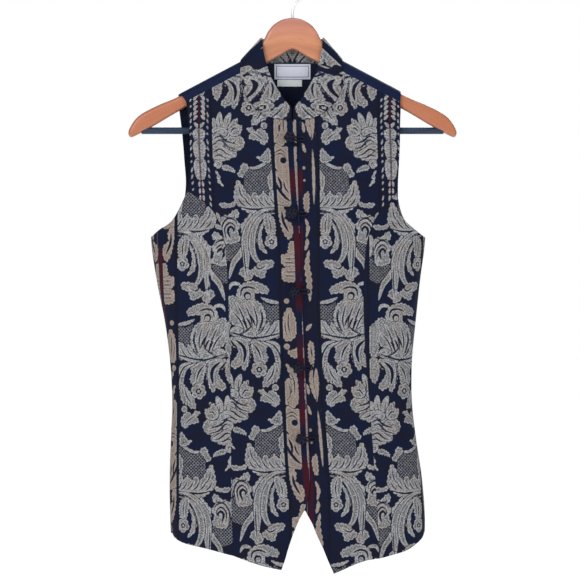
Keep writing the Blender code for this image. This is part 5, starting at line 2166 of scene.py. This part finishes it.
@dataclass
class Closures:
    """The knotted ball buttons down the right front, and the cord loops that hold them.

    The knot's cord goes round the ball leads times and turns back bights times at the top and the
    bottom, at a latitude of highest, and rises over_under where it crosses itself. A loop is a flat
    hairpin of half width half_gap, from reach_in to reach_out beyond its knot's middle. It is laid of
    two plies, whose radius and distance from its middle are shares of its own radius.
    """

    knot_radius: float = 8.3
    inset: float = 9.5
    cord_radius: float = 1.2
    strand_radius: float = 1.7
    fit_gap: float = 0.3
    leads: int = 4
    bights: int = 5
    highest: float = 1.22
    over_under: float = 0.55
    knot_points: int = 240
    half_gap: float = 2.2
    reach_in: float = 2.5
    reach_out: float = 18.0
    ply_radius: float = 0.62
    ply_offset: float = 0.42
    ply_twists: int = 14
    ply_points: int = 150
    drops: tuple = KNOT_DROPS

    def knot_path(self, turned: float) -> Array:
        """The cord's way round the ball, over and under itself, about the origin.

        Args:
            turned: By how much this knot is turned in its bed, in radians.

        Returns:
            The points, in millimetres.
        """
        t = np.linspace(0.0, 2 * math.pi, self.knot_points, endpoint=False)
        round_ball = self.leads * t + turned
        rise = self.highest * np.sin(self.bights * t)
        weave = np.cos(self.bights * (self.leads - 1) * t)
        out = self.knot_radius - self.strand_radius - self.over_under + self.over_under * weave
        flat, high = out * np.cos(rise), out * np.sin(rise)
        return np.stack((flat * np.cos(round_ball), high, flat * np.sin(round_ball)), axis=1)

    def knot(self, number: int, drop: float, finish: Material) -> Object:
        """One knotted ball.

        Args:
            number: Which knot, from the neck.
            drop: Where it sits.
            finish: The cord.

        Returns:
            The finished knot.
        """
        foot, outward = outward_at(buttoned_edge(drop) - self.inset, drop, Face.FRONT)
        lift = self.knot_radius * 0.955 + 2 * self.cord_radius + 1.4 * self.fit_gap
        middle = foot + outward * lift * MM
        path = self.knot_path(0.7 * number)
        tilt = 0.25 * math.sin(2.1 * number)
        turned = path.copy()
        turned[:, 1] = path[:, 1] * math.cos(tilt) - path[:, 2] * math.sin(tilt)
        turned[:, 2] = path[:, 1] * math.sin(tilt) + path[:, 2] * math.cos(tilt)
        name = f"knot_button_{number}"
        cord = closed_cord(name, turned * MM + middle, self.strand_radius * MM)
        deselect()
        radius = (self.knot_radius - 2 * self.strand_radius) * MM
        bpy.ops.mesh.primitive_uv_sphere_add(segments=24, ring_count=14, radius=radius, location=middle)
        core = bpy.context.object
        bpy.ops.object.transform_apply(location=True, rotation=False, scale=False)
        ball = smoothed(joined(f"{name}_tied", [cord, core]), 70)
        return self.dressed(ball, name, finish)

    def loop(self, number: int, drop: float, finish: Material) -> Object:
        """One flat loop of two-ply cord, from beneath its knot out over the edge.

        Args:
            number: Which loop, from the neck.
            drop: Where it lies.
            finish: The cord.

        Returns:
            The finished loop.
        """
        angles = np.linspace(-math.pi / 2, math.pi / 2, 12)
        bend = self.half_gap * np.stack((np.cos(angles), np.sin(angles)), axis=1)
        bend_out = bend + np.array((self.reach_out, 0.0))
        bend_in = -bend - np.array((self.reach_in, 0.0))
        upper = np.linspace(bend_out[-1], bend_in[0], 22)[1:-1]
        lower = np.linspace(bend_in[-1], bend_out[0], 22)[1:-1]
        route = np.concatenate((bend_out, upper, bend_in, lower))
        start = buttoned_edge(drop) - self.inset
        path = []
        for along, up in route:
            over, outward = outward_at(start + along, drop + up, Face.FRONT)
            under, _ = outward_at(start + along, drop + up, Face.UNDER)
            past = smooth_step((along - self.inset - self.half_gap) / 5.0)
            lift = outward * (self.cord_radius + self.fit_gap) * MM
            path.append(over * (1 - past) + under * past + lift)
        name = f"button_loop_{number}"
        plies = []
        for ply in (0.0, math.pi):
            laid = self.laid(np.array(path), ply)
            plies.append(closed_cord(name, laid, self.ply_radius * self.cord_radius * MM))
        cord = smoothed(joined(f"{name}_laid", plies), 70)
        return self.dressed(cord, name, finish)

    def laid(self, path: Array, start: float) -> Array:
        """One ply of a two-ply cord along a closed line.

        Args:
            path: The cord's middle line, in metres.
            start: Where in the twist the ply begins.

        Returns:
            The ply's middle line.
        """
        fine = np.concatenate((path, path[:1]))
        lengths = np.concatenate(([0.0], np.cumsum(np.linalg.norm(np.diff(fine, axis=0), axis=1))))
        wanted = np.linspace(0.0, lengths[-1], self.ply_points, endpoint=False)
        middle = np.stack([np.interp(wanted, lengths, column) for column in fine.T], axis=1)
        along = np.roll(middle, -1, axis=0) - np.roll(middle, 1, axis=0)
        along /= np.linalg.norm(along, axis=1, keepdims=True)
        front = np.array((0.0, -1.0, 0.0))
        aside = np.cross(along, front)
        aside /= np.linalg.norm(aside, axis=1, keepdims=True)
        twist = start + 2 * math.pi * self.ply_twists * np.arange(len(middle)) / len(middle)
        reach = self.ply_offset * self.cord_radius * MM
        spiral = aside * np.cos(twist)[:, None] + np.cross(aside, along) * np.sin(twist)[:, None]
        return middle + spiral * reach

    def dressed(self, piece: Object, node: str, finish: Material) -> Object:
        """Gives a piece its finish, and puts it in place of its node.

        Args:
            piece: The piece.
            node: Its node.
            finish: Its cord.

        Returns:
            The same piece.
        """
        dress(piece.data, finish)
        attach(piece, BODY)
        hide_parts(node)
        return piece

    def build(self) -> None:
        """Makes all the knots and loops."""
        finish = CordFinish().make()
        for number, drop in enumerate(self.drops, start=1):
            self.loop(number, drop, finish)
            self.knot(number, drop, finish)
        logger.info("%d knots with their loops", len(self.drops))


@dataclass
class Garment:
    """The cut pieces of cloth, joined edge to edge."""

    right_axis: tuple = spots(
        (-3.4, 217.8), (-1.6, 258.6), (1.0, 299.4), (5.8, 367.4), (7.5, 408.2), (8.2, 449.0),
        (9.8, 503.4), (14.3, 625.8), (15.6, 653.0), (18.4, 693.8), (21.9, 721.0),
    )
    left_start: tuple = spots(
        (36.0, 217.8), (37.4, 285.8), (37.4, 449.0), (38.8, 489.8), (42.8, 585.0), (46.9, 639.4),
        (51.0, 693.8), (52.4, 721.0),
    )
    side_starts: tuple = (-129.9, 154.4)
    side_sink: float = 22.0

    def pieces(self) -> list[BrocadePiece]:
        """The brocade pieces, each with the place from which its pattern counts.

        Returns:
            The pieces, ready to build.
        """
        side = {"start_squares": 40.0, "sunk_squares": self.side_sink}
        right, left = (spots((x, 300), (x, 820)) for x in self.side_starts)
        under = {"start": self.left_start, "start_squares": 20.0, "counted": Counted.TO_LEFT_SIDE}
        return [
            CentreFront("right_front", Face.FRONT, 24, 9, start=self.right_axis),
            CentreFront("left_front", Face.UNDER, 24, 9, left_hand=True, **under),
            SideFront(
                "right_side_front", Face.FRONT, 24, 14, start=right, counted=Counted.TO_LEFT_SIDE, **side
            ),
            SideFront("left_side_front", Face.FRONT, 24, 14, start=left, left_hand=True, **side),
            Collar("collar", Face.FRONT, 1, 8, start_squares=18.0),
        ]

    def build(self) -> None:
        """Makes every cloth piece."""
        brocade = BrocadeFinish().make()
        satin = SatinFinish(
            "back_satin", lit=(0.0034, 0.0092, 0.0420), shade=(0.0022, 0.0056, 0.0250), gloss=1.0
        ).make()
        lining = SatinFinish(
            "lining_satin", lit=(0.0030, 0.0070, 0.024), shade=(0.0020, 0.0046, 0.016), gloss=0.8
        ).make()
        for piece in self.pieces():
            made = piece.build(Cloths(brocade, lining))
            logger.info("%s, %d faces", made.name, len(made.data.polygons))
        back = Back("back", Face.BACK, 6, 5, lining_step=2, rests_on=("hanger_board",))
        made = back.build(Cloths(satin, lining))
        logger.info("%s, %d faces", made.name, len(made.data.polygons))


@dataclass
class Labels:
    """The blank woven label and the blank tag inside the back of the neck."""

    label_middle_drop: float = 135.0
    label_half: tuple = (25.0, 10.5)
    tag_middle: tuple = (-4.0, 150.5)
    tag_half: tuple = (17.0, 4.5)

    def dress(self) -> None:
        """Gives both their finish."""
        label = RibbonFinish(
            "label_ribbon", (0.66, 0.68, 0.78), 0.0, self.label_middle_drop, *self.label_half, True
        )
        tag = RibbonFinish("tag_ribbon", (0.72, 0.76, 0.76), *self.tag_middle, *self.tag_half, False)
        for node, finish in (("label", label), ("size_tag", tag)):
            dress(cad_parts[node].data, finish.make())
        logger.info("labels dressed")


# Half of the board's outline, from the top of its head round one arm to the arch beneath
HANGER_OUTLINE = spots(
    (0, 62), (13, 64.3), (25.5, 71.5), (33.8, 81.5), (39.3, 92), (54, 108.2), (66, 122.6), (74, 128.0),
    (112, 146.9), (157, 170.7), (181, 180.8), (203, 191.7), (214, 200), (221, 209.5), (225, 219),
    (222.5, 225.5), (214, 223.2), (186, 208), (157, 190.8), (110, 165), (60, 137.8), (20, 115.8),
    (6, 107.4),
)


@dataclass
class Hanger:
    """The wooden board with its head and two arms, its painted bar and its wire hook."""

    thickness: float = 12.0
    edge_radius: float = 5.0
    arch_top: float = 105.4
    fine: int = 5

    def board(self) -> Object:
        """Shapes the board from its outline, with well rounded edges.

        Returns:
            The finished board.
        """
        half = fine_line(HANGER_OUTLINE, self.fine)
        outline = with_mirror(np.concatenate((half, ((0.0, self.arch_top),))))[:-1]
        curve = bpy.data.curves.new("hanger_board", "CURVE")
        curve.dimensions = "2D"
        curve.fill_mode = "BOTH"
        curve.extrude = (self.thickness / 2 - self.edge_radius) * MM
        curve.bevel_depth = self.edge_radius * MM
        curve.bevel_resolution = 4
        curve.offset = -self.edge_radius * MM
        line = curve.splines.new("POLY")
        line.points.add(len(outline) - 1)
        for point, (x, drop) in zip(line.points, outline):
            point.co = (x * MM, -drop * MM, 0.0, 1.0)
        line.use_cyclic_u = True
        board = bpy.data.objects.new("hanger_board_shaped", curve)
        board.rotation_euler = (math.pi / 2, 0.0, 0.0)
        bpy.context.scene.collection.objects.link(board)
        choose(board)
        bpy.ops.object.convert(target="MESH")
        board = choose(bpy.context.object)
        bpy.ops.object.transform_apply(location=True, rotation=True, scale=True)
        bpy.ops.object.mode_set(mode="EDIT")
        bpy.ops.mesh.select_all(action="SELECT")
        bpy.ops.mesh.remove_doubles(threshold=1e-5)
        bpy.ops.mesh.normals_make_consistent(inside=False)
        bpy.ops.object.mode_set(mode="OBJECT")
        # rim is 1 along the middle of the rounded edge and 0 on the flat faces: the mask of the wood's
        # painted shade
        depth = np.abs([vertex.co.y for vertex in board.data.vertices]) / (self.thickness / 2 * MM)
        rim = board.data.attributes.new("rim", "FLOAT", "POINT")
        rim.data.foreach_set("value", 1.0 - depth)
        return smoothed(board, 40)

    def build(self) -> None:
        """Makes the board, and dresses the bar and the hook."""
        board = self.board()
        dress(board.data, WoodFinish().make())
        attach(board, BODY)
        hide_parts("hanger_board")
        for node, finish in (("hanger_bar", PaintFinish()), ("hook", SteelFinish())):
            dress(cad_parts[node].data, finish.make())
        logger.info("hanger, %d faces", len(board.data.polygons))


@dataclass
class Studio:
    """Pale floor and backdrop, soft lights and the camera that stands as the photographer did."""

    middle: tuple = (-0.0034, -0.4354)
    across: float = 0.7888
    distance: float = 4.2
    front_depth: float = 0.035
    floor_drop: float = 1.15
    floor_glow: float = 0.86
    sky_strength: float = 0.34
    pale: tuple = (0.86, 0.86, 0.85)
    aim: tuple = (0.0, 0.0, -0.45)
    lamps: tuple = (
        ("key", (-1.6, -2.6, 1.0), 1.4, 46.0),
        ("fill", (2.2, -2.4, 0.2), 2.0, 16.0),
        ("top", (0.2, -0.6, 1.9), 1.6, 20.0),
        ("rear", (0.6, 2.6, 0.9), 1.6, 40.0),
    )

    def floor(self) -> None:
        """A wide pale floor, seen from a little above or from straight in front."""
        deselect()
        bpy.ops.mesh.primitive_circle_add(
            vertices=48, radius=30.0, fill_type="NGON", location=(0.0, 0.0, -self.floor_drop)
        )
        floor = bpy.context.object
        floor.name = "studio_floor"
        bpy.ops.object.transform_apply(location=True, rotation=False, scale=False)
        recipe = Recipe("studio_paper")
        speck = recipe.noise(recipe.object_place(), 3.0, 2.0)
        tone = recipe.mix(speck * 0.15, self.pale, tuple(0.97 * c for c in self.pale))
        glow = {"Roughness": 0.9, "Emission Strength": self.floor_glow}
        floor.data.materials.append(recipe.finish({"Base Color": tone, "Emission Color": tone}, glow))

    def sky(self) -> None:
        """Soft light from all round, before a white ground as in the picture."""
        world = bpy.data.worlds.new("studio")
        bpy.context.scene.world = world
        world.use_nodes = True
        tree = world.node_tree
        soft = tree.nodes["Background"]
        soft.inputs["Color"].default_value = (0.93, 0.96, 1.0, 1.0)
        soft.inputs["Strength"].default_value = self.sky_strength
        white = tree.nodes.new("ShaderNodeBackground")
        white.inputs["Color"].default_value = (1.0, 1.0, 1.0, 1.0)
        rays = tree.nodes.new("ShaderNodeLightPath")
        mixed = tree.nodes.new("ShaderNodeMixShader")
        tree.links.new(rays.outputs["Is Camera Ray"], mixed.inputs[0])
        tree.links.new(soft.outputs[0], mixed.inputs[1])
        tree.links.new(white.outputs[0], mixed.inputs[2])
        tree.links.new(mixed.outputs[0], tree.nodes["World Output"].inputs["Surface"])

    def lamp(self, name: str, place: tuple, size: float, power: float, aim: tuple) -> None:
        """One soft lamp.

        Args:
            name: Its name.
            place: Where it stands, in metres.
            size: The width of its panel in metres.
            power: Its power in watts.
            aim: The point that it faces.
        """
        light = bpy.data.lights.new(name, "AREA")
        light.size = size
        light.energy = power
        lamp = bpy.data.objects.new(name, light)
        lamp.location = place
        lamp.rotation_euler = (Vector(aim) - Vector(place)).to_track_quat("-Z", "Y").to_euler()
        bpy.context.scene.collection.objects.link(lamp)

    def camera(self) -> None:
        """The camera, straight in front at half height."""
        data = bpy.data.cameras.new("camera")
        data.sensor_width = 36.0
        data.lens = 36.0 * (self.distance - self.front_depth) / self.across
        data.clip_end = 50.0
        camera = bpy.data.objects.new("camera", data)
        camera.location = (self.middle[0], -self.distance, self.middle[1])
        camera.rotation_euler = (math.pi / 2, 0.0, 0.0)
        bpy.context.scene.collection.objects.link(camera)
        bpy.context.scene.camera = camera

    def build(self) -> None:
        """Sets the studio up."""
        self.camera()
        self.floor()
        self.sky()
        for name, place, size, power in self.lamps:
            self.lamp(name, place, size, power, self.aim)
        bpy.context.scene.view_settings.view_transform = "Standard"
        logger.info("studio ready")


def main() -> None:
    """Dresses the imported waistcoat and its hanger, and sets the studio round them."""
    logging.basicConfig(level=logging.INFO, format="%(message)s")
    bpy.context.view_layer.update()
    Studio().build()
    Hanger().build()
    Garment().build()
    Labels().dress()
    Closures().build()


if __name__ == "__main__":
    main()
